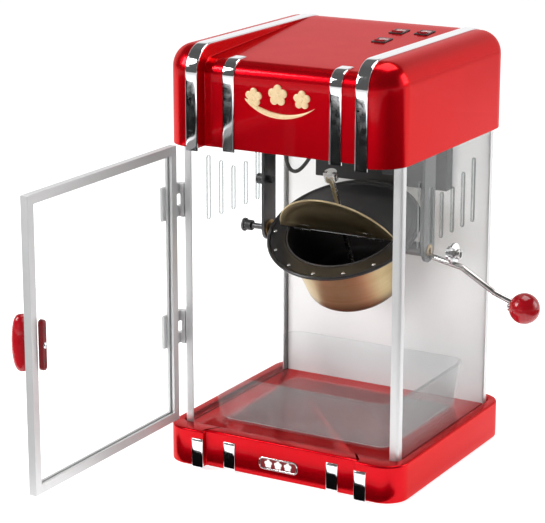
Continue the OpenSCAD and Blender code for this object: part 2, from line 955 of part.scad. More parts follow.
module lid_pin() {
    color(chrome) kettle_place() x_bar(-51, 51, lid_axis_y, lid_axis_z, pin_r);
}

module front_lid() {
    color([0.8, 0.78, 0.74]) lid_place() {
        translate([0, 0, 14]) linear_extrude(1.2) half_disc(67, lid_axis_y - 3, false);
        for (x = [-41, 31]) difference() {
            union() {
                x_bar(x, x + 10, lid_axis_y, lid_axis_z, 2.5);
                translate([x, lid_axis_y - 4, 14]) cube([10, 4, 1.2]);
            }
            x_bar(x - 1, x + 11, lid_axis_y, lid_axis_z, pin_r + play);
        }
    }
}

module lid_bush() {
    color([0.7, 0.55, 0.3]) kettle_place() difference() {
        union() {
            z_bar(0, 0, 11, 15, 6);
            z_bar(0, 0, 15, 21, 8);
        }
        z_bar(0, 0, 5, 25, 3 + play);
    }
}

// Stirring wire on a long shaft whose dog meets the drive shaft when the kettle is upright
module stirrer() {
    floor = -kettle_depth + 8.6;
    color([0.75, 0.75, 0.75]) kettle_place() {
        z_bar(0, 0, floor + 2, 84.5, 3);
        difference() {
            z_bar(0, 0, 76, 84.5, 7);
            translate([-9, -1.5, 81.5]) cube([18, 3, 4]);
        }
        x_bar(-34, 34, 0, floor + 5, 2);
        for (s = [-1, 1]) translate([s * 34, 0, floor + 5]) sphere(r = 2);
        y_bar(-20, 20, 0, floor + 12, 1.5);
    }
}

module heater_plate() {
    color([0.6, 0.6, 0.62]) kettle_place() difference() {
        z_bar(0, 0, -kettle_depth + 1.2, -kettle_depth + 7, 38);
        z_bar(0, 0, -kettle_depth, -kettle_depth + 4, 12);
    }
}

// Blocks that carry the kettle, with the left one's pin
module trunnions() {
    color([0.35, 0.35, 0.36]) difference() {
        union() {
            x_bar(50, block_end, pivot_y, pivot_z, 7);
            x_bar(-block_end, -50, pivot_y, pivot_z, 7);
        }
        kettle_place() pot_solid(0, -kettle_depth, 11, 12);
        x_bar(crank_x0, block_end + 1, pivot_y, pivot_z, rod_r);
    }
    color(chrome) x_bar(-panel_x1 + 3, -block_end, pivot_y, pivot_z, rod_r);
}

// Rod with two equal bends; it is drawn in a plane turned about the pivot axis
module crank_rod() {
    drop = norm([ball_front, ball_drop]);
    run = crank_x2 - crank_x1;
    bend = atan2(drop, run);
    t = bend_r * tan(bend / 2);
    color([0.7, 0.7, 0.7]) translate([0, pivot_y, pivot_z])
        rotate([atan2(-ball_drop, -ball_front), 0, 0]) {
            x_bar(crank_x0, crank_x1 - t + lap, 0, 0, rod_r);
            translate([crank_x1 - t, bend_r, 0]) elbow(-90, bend);
            translate([crank_x1 + t * cos(bend), t * sin(bend), 0]) rotate([0, 0, bend])
                x_bar(-lap, norm([run, drop]) - 2 * t + lap, 0, 0, rod_r);
            translate([crank_x2 + t, drop - bend_r, 0]) elbow(90, bend);
            x_bar(crank_x2 + t - lap, ball_x, drop, 0, rod_r);
            x_bar(panel_x1 + 3.5, panel_x1 + 8.5, 0, 0, 5);
        }
}

// Bent stretch of rod, turning through an angle about Z
module elbow(start, turn) {
    rotate([0, 0, start]) rotate_extrude(angle = turn) translate([bend_r, 0])
        circle(rod_r - lap / 5);
}

module crank_ball() {
    p = [ball_x, pivot_y - ball_front, pivot_z - ball_drop];
    color(red) difference() {
        translate(p) sphere(r = ball_r);
        x_bar(p[0] - 20, p[0], p[1], p[2], rod_r);
    }
}

base_shell();
base_plate();
feet();
foot_screws();
base_strips_outer();
base_strips_inner();
base_badge();
pillars_front();
pillars_rear();
side_panel_left();
side_panel_right();
back_panel();
hood_shell();
hood_ceiling();
hood_strips_outer();
hood_strips_inner();
hood_ornament();
switch_bezels();
switch_bodies();
rocker_light();
rocker_heat();
rocker_motor();
hanger_left();
hanger_right();
pivot_bushes();
panel_bush();
pivot_cap();
thumb_screw();
rear_shroud();
heater_lead();
lead_glands();
lamp_holder();
lamp_bulb();
motor();
gearbox();
drive_bush();
drive_shaft();
power_inlet();
screws();
hinge_blocks();
hinge_pins();
magnet_catch();
door_frame();
door_pane();
door_knuckles();
door_handle();
handle_plate();
tray();
kettle_pot();
kettle_jacket();
kettle_rim();
rear_lid();
lid_bush();
lid_pin();
heater_plate();
trunnions();
crank_rod();
crank_ball();
front_lid();
stirrer();
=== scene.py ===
"""Looks of the popcorn maker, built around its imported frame.

Shapes are drawn in millimetres in the frame's own axes, and become metres when a piece is made.
"""
import json
import math

import bmesh
import bpy
from mathutils import Matrix, Vector


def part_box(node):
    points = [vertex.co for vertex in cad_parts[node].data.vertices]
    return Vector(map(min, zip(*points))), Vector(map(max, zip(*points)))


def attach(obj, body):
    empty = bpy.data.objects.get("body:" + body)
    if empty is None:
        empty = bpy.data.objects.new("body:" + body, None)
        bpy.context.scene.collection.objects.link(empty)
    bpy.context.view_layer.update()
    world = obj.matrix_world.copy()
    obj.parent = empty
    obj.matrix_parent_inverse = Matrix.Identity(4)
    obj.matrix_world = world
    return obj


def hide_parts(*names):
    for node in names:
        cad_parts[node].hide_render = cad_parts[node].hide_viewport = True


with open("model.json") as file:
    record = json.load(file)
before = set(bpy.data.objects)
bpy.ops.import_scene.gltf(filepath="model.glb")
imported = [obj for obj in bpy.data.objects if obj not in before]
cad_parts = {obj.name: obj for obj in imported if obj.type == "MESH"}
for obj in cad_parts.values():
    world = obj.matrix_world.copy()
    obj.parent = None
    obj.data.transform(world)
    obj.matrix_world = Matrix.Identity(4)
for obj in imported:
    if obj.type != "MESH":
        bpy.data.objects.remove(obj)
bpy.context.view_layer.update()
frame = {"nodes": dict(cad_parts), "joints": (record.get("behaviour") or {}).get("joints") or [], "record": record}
MM = 0.001
move = Matrix.Translation
BODY_OF = {n: b for b, nodes in frame["record"]["behaviour"]["bodies"].items() for n in nodes}


def box_mm(node):
    """Lowest and highest corner of a CAD node, in millimetres."""
    low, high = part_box(node)
    return low / MM, high / MM


def joint(name):
    return next(j for j in frame["joints"] if j["name"] == name)


def joint_spot(name):
    return Vector(joint(name)["pos_m"]) / MM


# ---- driving sizes, in millimetres ----

HOOD_LOW, HOOD_HIGH = box_mm("hood_shell")
CENTRE_FRONT = box_mm("hood_ornament")[1].y
STRIP_T = HOOD_LOW.y - box_mm("hood_strips_outer")[0].y
STRIP_W = 13
CHEEK_X = 85
INNER_STRIP_X = 58
OUTER_STRIP_X = CHEEK_X + STRIP_W / 2
HOOD_CORNER_R = 30
HOOD_SIDE_R = 23
HOOD_END_R = 26
NOSE_R = 15
NOSE_Z = HOOD_HIGH.z - 27.6
SLOPE_END_Y = 88
STEP_EDGE_R = 1.2
HOOD_WALL = 2.2

BASE_LOW, BASE_HIGH = box_mm("base_shell")
FLOOR_Z = box_mm("pillars_front")[0].z
CABINET = box_mm("pillars_front")[1].x, box_mm("pillars_rear")[1].y

PIVOT = joint_spot("kettle_tilt")
TILT = -joint("kettle_tilt")["range_deg"][0]
LID_AXIS = Vector((0, -11, 16))  # in the kettle's own frame
LID_OPEN = joint("lid_flap")["range_deg"][1]
KETTLE = move(PIVOT) @ Matrix.Rotation(math.radians(TILT), 4, "X")
LID = KETTLE @ move(LID_AXIS) @ Matrix.Rotation(math.radians(-LID_OPEN), 4, "X") @ move(-LID_AXIS)
CRANK_BENDS = (138, 160)  # where the rod leaves its axis, and where it reaches the ball's
TO_X = Matrix.Rotation(math.pi / 2, 4, "Y")
DOOR = (move((*joint_spot("door_swing").xy, 0))
        @ Matrix.Rotation(math.radians(-joint("door_swing")["range_deg"][1]), 4, "Z"))


# ---- outlines ----

def run(start, end, normal, steps):
    """Points from start to end, each with the same outward direction."""
    a, b = Vector(start), Vector(end)
    return [(a.lerp(b, k / steps), Vector(normal)) for k in range(steps + 1)]


def bend(centre, r, start, end, steps):
    """Points round centre, from angle start to end in degrees, with their outward directions."""
    out = []
    for k in range(steps + 1):
        a = math.radians(start + (end - start) * k / steps)
        d = Vector((math.cos(a), math.sin(a)))
        out.append((Vector(centre) + d * r, d))
    return out


def arc(cx, cy, r, start, end, steps=8):
    return [tuple(p) for p, _ in bend((cx, cy), r, start, end, steps)]


def chain(*parts):
    """Parts of an outline end to end, without the points they share."""
    return parts[0] + [p for part in parts[1:] for p in part[1:]]


def around(count):
    """Angles of equal steps round a full turn."""
    return [2 * math.pi * k / count for k in range(count)]


def rounded_rect(low, high, inset, r, steps=8):
    """Anticlockwise points of a rectangle with round corners, inset from two opposite corners."""
    x0, y0, x1, y1 = low[0] + inset, low[1] + inset, high[0] - inset, high[1] - inset
    corners = [(x1 - r, y1 - r, 0), (x0 + r, y1 - r, 90), (x0 + r, y0 + r, 180), (x1 - r, y0 + r, 270)]
    return [p for cx, cy, a in corners for p in arc(cx, cy, r, a, a + 90, steps)]


def rounded_path(points, radii, steps=10):
    """Points along straight lines in space whose inner corners are bent to the radii."""
    out = [Vector(points[0])]
    for k, r in enumerate(radii):
        a, b, c = (Vector(points[k + i]) for i in range(3))
        u, v = (a - b).normalized(), (c - b).normalized()
        half = u.angle(v) / 2
        centre = b + (u + v).normalized() * r / math.sin(half)
        start, end = b + u * r / math.tan(half), b + v * r / math.tan(half)
        p, q = start - centre, end - centre
        out += [centre + p.slerp(q, i / steps) for i in range(steps + 1)]
    return out + [Vector(points[-1])]


# ---- meshes ----

class Shape:
    """Vertices in millimetres, and faces with the number of their material."""

    def __init__(self):
        self.verts, self.faces, self.marks = [], [], []

    def add(self, verts, faces, mark=0):
        start = len(self.verts)
        self.verts += [Vector(v) for v in verts]
        self.faces += [[start + i for i in face] for face in faces]
        self.marks += [mark] * len(faces)
        return self

    def join(self, other, matrix, mark=None):
        """Adds a shape in its own frame. Without a mark it keeps its materials."""
        marks = self.marks + (other.marks if mark is None else [mark] * len(other.marks))
        self.add([matrix @ v for v in other.verts], other.faces)
        self.marks = marks
        return self

    def loft(self, rings, mark=0, caps=True, loop=False, wrap=True):
        """Skin over rings of equally many points. loop joins the last ring to the first."""
        n, count = len(rings[0]), len(rings)
        faces = []
        for k in range(count if loop else count - 1):
            a, b = k * n, (k + 1) % count * n
            for i in range(n if wrap else n - 1):
                j = (i + 1) % n
                faces.append([a + i, a + j, b + j, b + i])
        if caps and not loop:
            faces += [list(range(n))[::-1], list(range((count - 1) * n, count * n))]
        return self.add([p for ring in rings for p in ring], faces, mark)

    def revolve(self, profile, mark=0, steps=64, loop=False):
        """Turns (radius, height) points about Z. An open profile starts and ends on the axis."""
        rings = [[(r * math.cos(a), r * math.sin(a), z) for a in around(steps)] for r, z in profile]
        return self.loft(rings, mark, caps=False, loop=loop)

    def sweep(self, path, r, sides):
        """Round bar along a path, with softly rounded ends."""
        side = (path[1] - path[0]).orthogonal().normalized()
        rings = []
        last = len(path) - 1
        cut = min(r * 0.3, 0.6)
        for k, p in enumerate(path):
            along = (path[min(k + 1, last)] - path[max(k - 1, 0)]).normalized()
            side = (side - along * side.dot(along)).normalized()
            up = along.cross(side)
            ring = [(side * math.cos(a) + up * math.sin(a)) * r for a in around(sides)]
            if k == 0:
                rings.append([p + v * (1 - cut / r) for v in ring])
                rings.append([p + along * cut + v for v in ring])
            elif k == last:
                rings.append([p - along * cut + v for v in ring])
                rings.append([p + v * (1 - cut / r) for v in ring])
            else:
                rings.append([p + v for v in ring])
        return self.loft(rings)

    def slab(self, low, high, r, mark=0):
        """Box with softened edges. Its corners are a hair rounder than r, so that no ring shrinks away."""
        rings = []
        for inset, z in slab_levels(low[2], high[2], r):
            rings.append([(x, y, z) for x, y in rounded_rect(low, high, inset, r * 1.01 - inset, 4)])
        return self.loft(rings, mark)


def slab_levels(z0, z1, r):
    """Insets and heights of a box's softened lower and upper edges."""
    turn = [math.radians(a) for a in (0, 30, 60, 90)]
    low = [(r * (1 - math.sin(a)), z0 + r * (1 - math.cos(a))) for a in turn]
    return low + [(inset, z0 + z1 - z) for inset, z in low[::-1]]


def cad_shape(node):
    """A CAD node's form, with its flat faces whole again."""
    work = bmesh.new()
    work.from_mesh(frame["nodes"][node].data)
    bmesh.ops.remove_doubles(work, verts=work.verts, dist=2e-6)
    bmesh.ops.dissolve_degenerate(work, edges=work.edges, dist=1e-6)
    bmesh.ops.dissolve_limit(work, angle_limit=math.radians(0.5), verts=work.verts, edges=work.edges)
    work.verts.index_update()
    shape = Shape().add([v.co / MM for v in work.verts], [[v.index for v in f.verts] for f in work.faces])
    work.free()
    return shape


def clean(mesh):
    """Joins points that coincide and turns every face outwards."""
    work = bmesh.new()
    work.from_mesh(mesh)
    bmesh.ops.remove_doubles(work, verts=work.verts, dist=4e-6)
    bmesh.ops.dissolve_degenerate(work, edges=work.edges, dist=1e-7)
    bmesh.ops.recalc_face_normals(work, faces=work.faces)
    work.to_mesh(mesh)
    work.free()


def soft_edges(obj, width, angle):
    bevel = obj.modifiers.new("soft_edges", "BEVEL")
    bevel.width = width * MM
    bevel.segments = 2
    bevel.limit_method = "ANGLE"
    bevel.angle_limit = math.radians(angle)
    bevel.harden_normals = True


def apply_modifiers(obj):
    bpy.context.view_layer.update()
    graph = bpy.context.evaluated_depsgraph_get()
    mesh = bpy.data.meshes.new_from_object(obj.evaluated_get(graph))
    obj.modifiers.clear()
    obj.data = mesh


def shade(mesh, sharp):
    mesh.shade_smooth()
    mesh.set_sharp_from_angle(angle=math.radians(sharp))


def placed(name, data):
    """New object of the scene."""
    obj = bpy.data.objects.new(name, data)
    bpy.context.scene.collection.objects.link(obj)
    return obj


def raw_object(name, shape, materials=()):
    mesh = bpy.data.meshes.new(name)
    mesh.from_pydata([v * MM for v in shape.verts], [], shape.faces)
    mesh.polygons.foreach_set("material_index", shape.marks)
    for material in materials:
        mesh.materials.append(material)
    clean(mesh)
    return placed(name, mesh)


def finish_piece(obj, nodes, body=None, slot=None, sharp=35, bevel=0.0):
    """Shades a piece, softens its edges, ties it to its body, and hides the CAD nodes it stands for."""
    shade(obj.data, sharp)
    if bevel:
        soft_edges(obj, bevel, sharp)
    first = nodes[0] if nodes else None
    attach(obj, body or BODY_OF[first])
    if nodes:
        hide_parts(*nodes)


def make(name, shape, materials, nodes=(), **how):
    materials = materials if isinstance(materials, list) else [materials]
    finish_piece(raw_object(name, shape, materials), list(nodes), **how)


# ---- materials ----

def ranged(tree, value, low, high, to_low, to_high, how="LINEAR"):
    """Carries a value from one range over to another."""
    node = tree.nodes.new("ShaderNodeMapRange")
    node.interpolation_type = how
    tree.links.new(value, node.inputs["Value"])
    for key, number in zip(("From Min", "From Max", "To Min", "To Max"), (low, high, to_low, to_high)):
        node.inputs[key].default_value = number
    return node.outputs["Result"]


class Paint:
    """A node material with one Principled shader, and helpers for what feeds it."""

    def __init__(self, name, **constants):
        self.material = bpy.data.materials.new(name)
        self.material.use_nodes = True
        self.tree = self.material.node_tree
        self.shader = self.tree.nodes["Principled BSDF"]
        self.spot = self.node("ShaderNodeTexCoord").outputs["Object"]
        for key, value in constants.items():
            self.shader.inputs[key.replace("_", " ").title().replace("Ior", "IOR")].default_value = value

    def node(self, kind, inputs=None, **settings):
        node = self.tree.nodes.new(kind)
        for key, value in settings.items():
            setattr(node, key, value)
        for key, value in (inputs or {}).items():
            node.inputs[key].default_value = value
        return node

    def link(self, source, target):
        self.tree.links.new(source, target)

    def place(self, location, turn_x):
        """Reads the textures in a frame at location in metres, turned about X in degrees."""
        place = {"Location": location, "Rotation": (math.radians(turn_x), 0, 0)}
        mapping = self.node("ShaderNodeMapping", place, vector_type="TEXTURE")
        self.link(self.spot, mapping.inputs["Vector"])
        self.spot = mapping.outputs["Vector"]
        return self

    def noise(self, scale, detail, stretch=(1, 1, 1)):
        mapping = self.node("ShaderNodeMapping", {"Scale": stretch})
        self.link(self.spot, mapping.inputs["Vector"])
        noise = self.node("ShaderNodeTexNoise", {"Scale": scale, "Detail": detail})
        self.link(mapping.outputs["Vector"], noise.inputs["Vector"])
        return noise.outputs["Fac"]

    def height(self):
        """Height of the place on the surface, in metres."""
        split = self.node("ShaderNodeSeparateXYZ")
        self.link(self.spot, split.inputs[0])
        return split.outputs["Z"]

    def between(self, value, low, high, to_low=0.0, to_high=1.0):
        return ranged(self.tree, value, low, high, to_low, to_high)

    def blend(self, factor, first, second, into=None):
        """Mixes two colours, each a tuple or a socket."""
        mix = self.node("ShaderNodeMix", data_type="RGBA")
        self.link(factor, mix.inputs["Factor"])
        for colour, socket in ((first, mix.inputs[6]), (second, mix.inputs[7])):
            if isinstance(colour, tuple):
                socket.default_value = (*colour, 1)
            else:
                self.link(colour, socket)
        if into is not None:
            self.link(mix.outputs[2], into)
        return mix.outputs[2]

    def colour(self, factor, first, second):
        return self.blend(factor, first, second, self.shader.inputs["Base Color"])

    def rough(self, factor, low, high):
        self.link(self.between(factor, 0.3, 0.7, low, high), self.shader.inputs["Roughness"])

    def bump(self, height, depth):
        """Relief of depth millimetres."""
        bump = self.node("ShaderNodeBump", {"Distance": depth * MM})
        self.link(height, bump.inputs["Height"])
        self.link(bump.outputs["Normal"], self.shader.inputs["Normal"])


def speckled(name, tints, gloss, relief=None, **constants):
    """Material of two or three noises. Each is a scale and a detail, and then what it makes: two colours,
    two roughnesses, or a relief's depth in millimetres."""
    p = Paint(name, **constants)
    p.colour(p.noise(*tints[:2]), *tints[2:])
    p.rough(p.noise(*gloss[:2]), *gloss[2:])
    if relief:
        p.bump(p.noise(*relief[:2]), relief[2])
    return p.material


def brushed(name, grain, colours, roughnesses, depth, **constants):
    """Material of one stretched noise, which shows in its colour, its gloss and its relief."""
    p = Paint(name, **constants)
    grain = p.noise(*grain)
    p.colour(grain, *colours)
    p.rough(grain, *roughnesses)
    p.bump(grain, depth)
    return p.material


def warm_reflection_steel():
    """Spun steel, with a straw colour painted in for the warm reflection of popcorn, and browner towards the pot's
    bottom.
    """
    p = Paint("warm_reflection_steel", metallic=0.85).place(PIVOT * MM, TILT)
    rings = p.noise(120, 4, (0.06, 0.06, 5))
    # Straw clouds: a painted warm reflection of popcorn.
    straw = p.blend(p.between(p.noise(22, 4), 0.3, 0.7), (0.52, 0.40, 0.21), (0.38, 0.27, 0.12))
    streaked = p.blend(p.between(rings, 0.2, 0.9, 0, 0.5), straw, (0.62, 0.53, 0.35))
    p.colour(p.between(p.height(), -0.060, -0.042), (0.06, 0.035, 0.02), streaked)
    p.rough(rings, 0.34, 0.44)
    p.bump(rings, 0.004)
    return p.material


def straw_steel():
    """Flap sheet, with a warm tint in soft clouds painted in as the reflection of popcorn, and faint cross
    brushing.
    """
    p = Paint("straw_steel", metallic=1.0)
    brushing = p.noise(500, 3, (0.08, 1, 1))
    clouds = p.blend(p.between(p.noise(24, 4), 0.3, 0.7), (0.74, 0.60, 0.36), (0.55, 0.40, 0.20))
    p.colour(p.between(brushing, 0.2, 0.9, 0, 0.5), clouds, (0.68, 0.58, 0.40))
    p.rough(brushing, 0.28, 0.38)
    p.bump(brushing, 0.003)
    return p.material


def pot_lining():
    """Non-stick coat with a fine pale fleck."""
    p = Paint("pot_lining")
    fleck = p.between(p.noise(1500, 2), 0.66, 0.72)
    p.colour(fleck, (0.035, 0.032, 0.031), (0.20, 0.19, 0.18))
    p.rough(p.noise(220, 4), 0.32, 0.5)
    p.bump(p.noise(900, 3), 0.02)
    return p.material


def clear_sheet(name, tint, haze):
    """Clear sheet: it mirrors more at a slant, and fine scuffs haze it a little."""
    p = Paint(name, ior=ACRYLIC_IOR)
    scuffs = p.between(p.noise(55, 6, (1, 1, 0.4)), 0.45, 0.8, haze, haze * 2.2)
    p.colour(p.noise(40, 3), (0.80, 0.83, 0.83), (0.90, 0.92, 0.92))
    p.rough(p.noise(300, 4), 0.02, 0.10)
    fresnel = p.node("ShaderNodeFresnel", {"IOR": ACRYLIC_IOR})
    front = p.node("ShaderNodeMath", {0: 1}, operation="SUBTRACT")
    p.link(p.node("ShaderNodeNewGeometry").outputs["Backfacing"], front.inputs[1])
    share = p.node("ShaderNodeMath", operation="MULTIPLY_ADD", use_clamp=True)
    p.link(fresnel.outputs["Fac"], share.inputs[0])
    p.link(front.outputs[0], share.inputs[1])
    p.link(scuffs, share.inputs[2])
    through = p.node("ShaderNodeBsdfTransparent", {"Color": (*tint, 1)})
    mix = p.node("ShaderNodeMixShader")
    p.link(share.outputs[0], mix.inputs["Fac"])
    p.link(through.outputs[0], mix.inputs[1])
    p.link(p.shader.outputs[0], mix.inputs[2])
    p.link(mix.outputs[0], p.tree.nodes["Material Output"].inputs["Surface"])
    return p.material


ACRYLIC_IOR = 1.49

# Candy red: a tinted metallic ground under a clear coat.
RED = speckled(
    "enamel_red", (9, 2, (0.52, 0.001, 0.005), (0.60, 0.002, 0.009)), (40, 2, 0.24, 0.27),
    (300, 1, 0.0015), metallic=0.8, coat_weight=0.2, coat_roughness=0.04, specular_ior_level=0.2,
    specular_tint=(0.85, 0.10, 0.12, 1))
KNOB_RED = speckled(
    "moulded_red", (60, 5, (0.25, 0.001, 0.004), (0.34, 0.002, 0.008)), (120, 4, 0.14, 0.28),
    (900, 3, 0.01), coat_weight=0.4, coat_roughness=0.06, specular_ior_level=0.3)
PLATE_RED = speckled(
    "moulded_dark_red", (80, 4, (0.13, 0.002, 0.004), (0.20, 0.003, 0.006)), (200, 4, 0.28, 0.42),
    (1400, 3, 0.02))
CHROME = speckled(
    "chrome_plate", (30, 3, (0.82, 0.83, 0.85), (0.90, 0.90, 0.91)), (160, 5, 0.03, 0.09),
    (500, 2, 0.004), metallic=1.0)
STEEL = speckled(
    "turned_steel", (90, 5, (0.50, 0.49, 0.48), (0.66, 0.65, 0.63)), (300, 5, 0.16, 0.30), (900, 4, 0.01),
    metallic=1.0)
# Anodised extrusion with fine upright brushing.
ALUMINIUM = brushed(
    "satin_aluminium", (1500, 3, (1, 1, 0.05)), ((0.64, 0.64, 0.65), (0.69, 0.69, 0.69)), (0.36, 0.42),
    0.001, metallic=0.6)
# Steel with a straw colour painted in as a warm reflection.
WARM_REFLECTION_STEEL = warm_reflection_steel()
# Flap steel whose warm tint is a painted reflection.
STRAW = straw_steel()
ENAMEL = speckled(
    "black_enamel", (70, 5, (0.007, 0.006, 0.006), (0.014, 0.012, 0.012)), (120, 4, 0.28, 0.36),
    (600, 3, 0.006), coat_weight=0.4, coat_roughness=0.12)
LINING = pot_lining()
DARK = brushed(
    "burnished_steel", (700, 4, (1, 1, 0.05)), ((0.085, 0.085, 0.09), (0.16, 0.155, 0.155)), (0.3, 0.46),
    0.015, metallic=0.9)
WHITE = speckled(
    "white_lacquer", (9, 3, (0.86, 0.86, 0.86), (0.90, 0.90, 0.90)), (90, 4, 0.34, 0.42),
    (1100, 3, 0.002), coat_weight=0.2, coat_roughness=0.2)
# Plated sheet with a cool, cloudy finish.
ZINC = speckled(
    "zinc_plate", (110, 6, (0.42, 0.43, 0.44), (0.62, 0.63, 0.64)), (70, 5, 0.3, 0.5), (800, 4, 0.01),
    metallic=1.0)
BRONZE = speckled(
    "sintered_bronze", (900, 4, (0.42, 0.28, 0.12), (0.60, 0.43, 0.21)), (500, 4, 0.32, 0.5),
    (1400, 3, 0.03), metallic=1.0)
RUBBER = speckled(
    "rubber", (250, 5, (0.016, 0.016, 0.016), (0.035, 0.034, 0.033)), (300, 4, 0.6, 0.82),
    (1800, 3, 0.05))
PLASTIC = speckled(
    "black_plastic", (60, 4, (0.012, 0.012, 0.013), (0.028, 0.027, 0.027)), (240, 4, 0.34, 0.5),
    (1500, 2, 0.03))
# Woven heat-proof sleeve of the heater lead.
SLEEVE = brushed(
    "braided_sleeve", (1700, 1, (1, 1, 0.6)), ((0.008, 0.008, 0.009), (0.06, 0.058, 0.055)), (0.55, 0.75),
    0.12)
CAST = speckled(
    "cast_aluminium", (300, 6, (0.34, 0.34, 0.35), (0.50, 0.50, 0.50)), (240, 5, 0.45, 0.6),
    (700, 5, 0.08), metallic=0.9)
CAN = speckled(
    "motor_can", (60, 5, (0.10, 0.10, 0.11), (0.18, 0.18, 0.19)), (150, 5, 0.3, 0.48), (500, 4, 0.02),
    metallic=0.9)
# Warm cream with a gilt sheen.
CREAM = speckled(
    "cream_gilt", (240, 4, (0.58, 0.40, 0.20), (0.72, 0.56, 0.34)), (300, 4, 0.24, 0.4), (900, 3, 0.03),
    metallic=0.15, coat_weight=0.4, coat_roughness=0.1)
PRINT = speckled("white_print", (400, 3, (0.78, 0.77, 0.74), (0.86, 0.85, 0.83)), (500, 3, 0.35, 0.5))
BULB = speckled(
    "bulb_glass", (120, 3, (0.86, 0.82, 0.72), (0.93, 0.90, 0.82)), (400, 3, 0.18, 0.3), (1500, 2, 0.01),
    ior=1.5)
ACRYLIC = clear_sheet("clear_acrylic_sheet", (0.985, 0.988, 0.987), 0.006)
ACRYLIC_EDGE = clear_sheet("acrylic_cut_edge", (0.34, 0.37, 0.37), 0.10)
TRAY_CLEAR = clear_sheet("tray_plastic", (0.975, 0.978, 0.98), 0.02)


# ---- hood ----

def cheek_outline(in_y=0.0, in_z=0.0, bottom=HOOD_LOW.z):
    """Side outline of the hood's cheek, from its front lower edge over the top to the back."""
    r = max(HOOD_END_R - (in_y + in_z) / 2, 0.4)
    y0, y1, z1 = HOOD_LOW.y + in_y, HOOD_HIGH.y - in_y, HOOD_HIGH.z - in_z
    return chain(
        run((y0, bottom), (y0, z1 - r), (-1, 0), 10),
        bend((y0 + r, z1 - r), r, 180, 90, 12),
        run((y0 + r, z1), (y1 - r, z1), (0, 1), 18),
        bend((y1 - r, z1 - r), r, 90, 0, 12),
        run((y1, z1 - r), (y1, HOOD_LOW.z), (1, 0), 10))


def centre_outline(bottom=HOOD_LOW.z):
    """Side outline of the recessed centre, whose top rises towards the back."""
    centre = Vector((CENTRE_FRONT + NOSE_R, NOSE_Z))
    rise = math.atan2(HOOD_HIGH.z - NOSE_Z - NOSE_R, SLOPE_END_Y - centre.x)
    normal = (-math.sin(rise), math.cos(rise))
    nose = bend(centre, NOSE_R, 180, 90 + math.degrees(rise), 12)
    back_y, back_z = HOOD_HIGH.y - HOOD_END_R, HOOD_HIGH.z - HOOD_END_R
    return chain(
        run((CENTRE_FRONT, bottom), (CENTRE_FRONT, NOSE_Z), (-1, 0), 10),
        nose,
        run(nose[-1][0], (SLOPE_END_Y, HOOD_HIGH.z), normal, 16),
        run((SLOPE_END_Y, HOOD_HIGH.z), (back_y, HOOD_HIGH.z), (0, 1), 2),
        bend((back_y, back_z), HOOD_END_R, 90, 0, 12),
        run((HOOD_HIGH.y, back_z), (HOOD_HIGH.y, HOOD_LOW.z), (1, 0), 10))


def step_sections():
    """Sections over the rounded step from the recessed centre up to the cheek."""
    centre = [p for p, _ in centre_outline()]
    cheek = [p for p, _ in cheek_outline()]
    turn = [math.radians(a) for a in (0, 22.5, 45, 67.5, 90)]
    foot = [(CHEEK_X - STEP_EDGE_R * (1 - math.sin(a)), 0, 1 - math.cos(a)) for a in turn]
    crest = [(CHEEK_X + STEP_EDGE_R * (1 - math.cos(a)), 1, math.sin(a) - 1) for a in turn]
    sections = []
    for x, from_top, lift in foot + crest:
        outline = []
        for a, b in zip(centre, cheek):
            rise = (b - a).length
            edge = min(STEP_EDGE_R, rise / 2)
            share = from_top + (lift * edge / rise if rise > 0.01 else 0)
            outline.append(a.lerp(b, share))
        sections.append((x, outline))
    return sections


def corner_sections():
    """Sections round the hood's corner, out to its flat side."""
    start, side_start = HOOD_HIGH.x - HOOD_CORNER_R, HOOD_HIGH.x - HOOD_SIDE_R
    sections = []
    for k in range(16):
        a = math.pi / 2 * k / 15
        x = start + HOOD_CORNER_R * math.sin(a)
        over = min(max(x - side_start, 0), HOOD_SIDE_R)
        drop = HOOD_SIDE_R - math.sqrt(HOOD_SIDE_R ** 2 - over ** 2)
        outline = cheek_outline(HOOD_CORNER_R * (1 - math.cos(a)), drop)
        sections.append((x, [p for p, _ in outline]))
    return sections


def top_z(y):
    """Height of the hood's sloping top."""
    centre_y = CENTRE_FRONT + NOSE_R
    return NOSE_Z + NOSE_R + (y - centre_y) * (HOOD_HIGH.z - NOSE_Z - NOSE_R) / (SLOPE_END_Y - centre_y)


SLOPE = math.atan2(top_z(1) - top_z(0), 1)
SWITCH_SPOTS = [(36, 16), (34, 58), (60, 62)]
ROCKERS = ["rocker_light", "rocker_heat", "rocker_motor"]


def switch_frame(index):
    x, y = SWITCH_SPOTS[index]
    return move((x, y, top_z(y))) @ Matrix.Rotation(SLOPE, 4, "X")


def cut_out(obj, cutters):
    """Cuts simple solids out of a piece for good."""
    for cutter in cutters:
        cut = obj.modifiers.new("cut", "BOOLEAN")
        cut.operation = "DIFFERENCE"
        cut.solver = "EXACT"
        cut.object = cutter
    apply_modifiers(obj)
    for cutter in cutters:
        bpy.data.objects.remove(cutter)


def hood_skin():
    """Open skin of the hood, section by section from its left side to its right."""
    centre = [p for p, _ in centre_outline()]
    cheek = [p for p, _ in cheek_outline()]
    half = [(x, centre) for x in (28, 56, 78)] + step_sections() + [(91, cheek)] + corner_sections()
    sections = [(-x, o) for x, o in half[::-1]] + [(0, centre)] + half
    rings = [[(x, p.x, p.y) for p in outline] for x, outline in sections]
    end = [list(range(len(rings[0])))]
    return Shape().loft(rings, caps=False, wrap=False).add(rings[0], end).add(rings[-1], end)


def hood_cutters():
    """Solids of the holes for the three switches and for the power inlet."""
    box = Shape().slab((-6.5, -8.5, -9), (6.5, 8.5, 9), 0.6)
    cutters = [raw_object(f"cutter_{k}", Shape().join(box, switch_frame(k))) for k in range(3)]
    low, high = box_mm("power_inlet")
    hole = Shape().slab(low + Vector((3.2, 0, 3.2)), high + Vector((-3.2, 9, -3.2)), 0.6)
    return cutters + [raw_object("cutter_inlet", hole)]


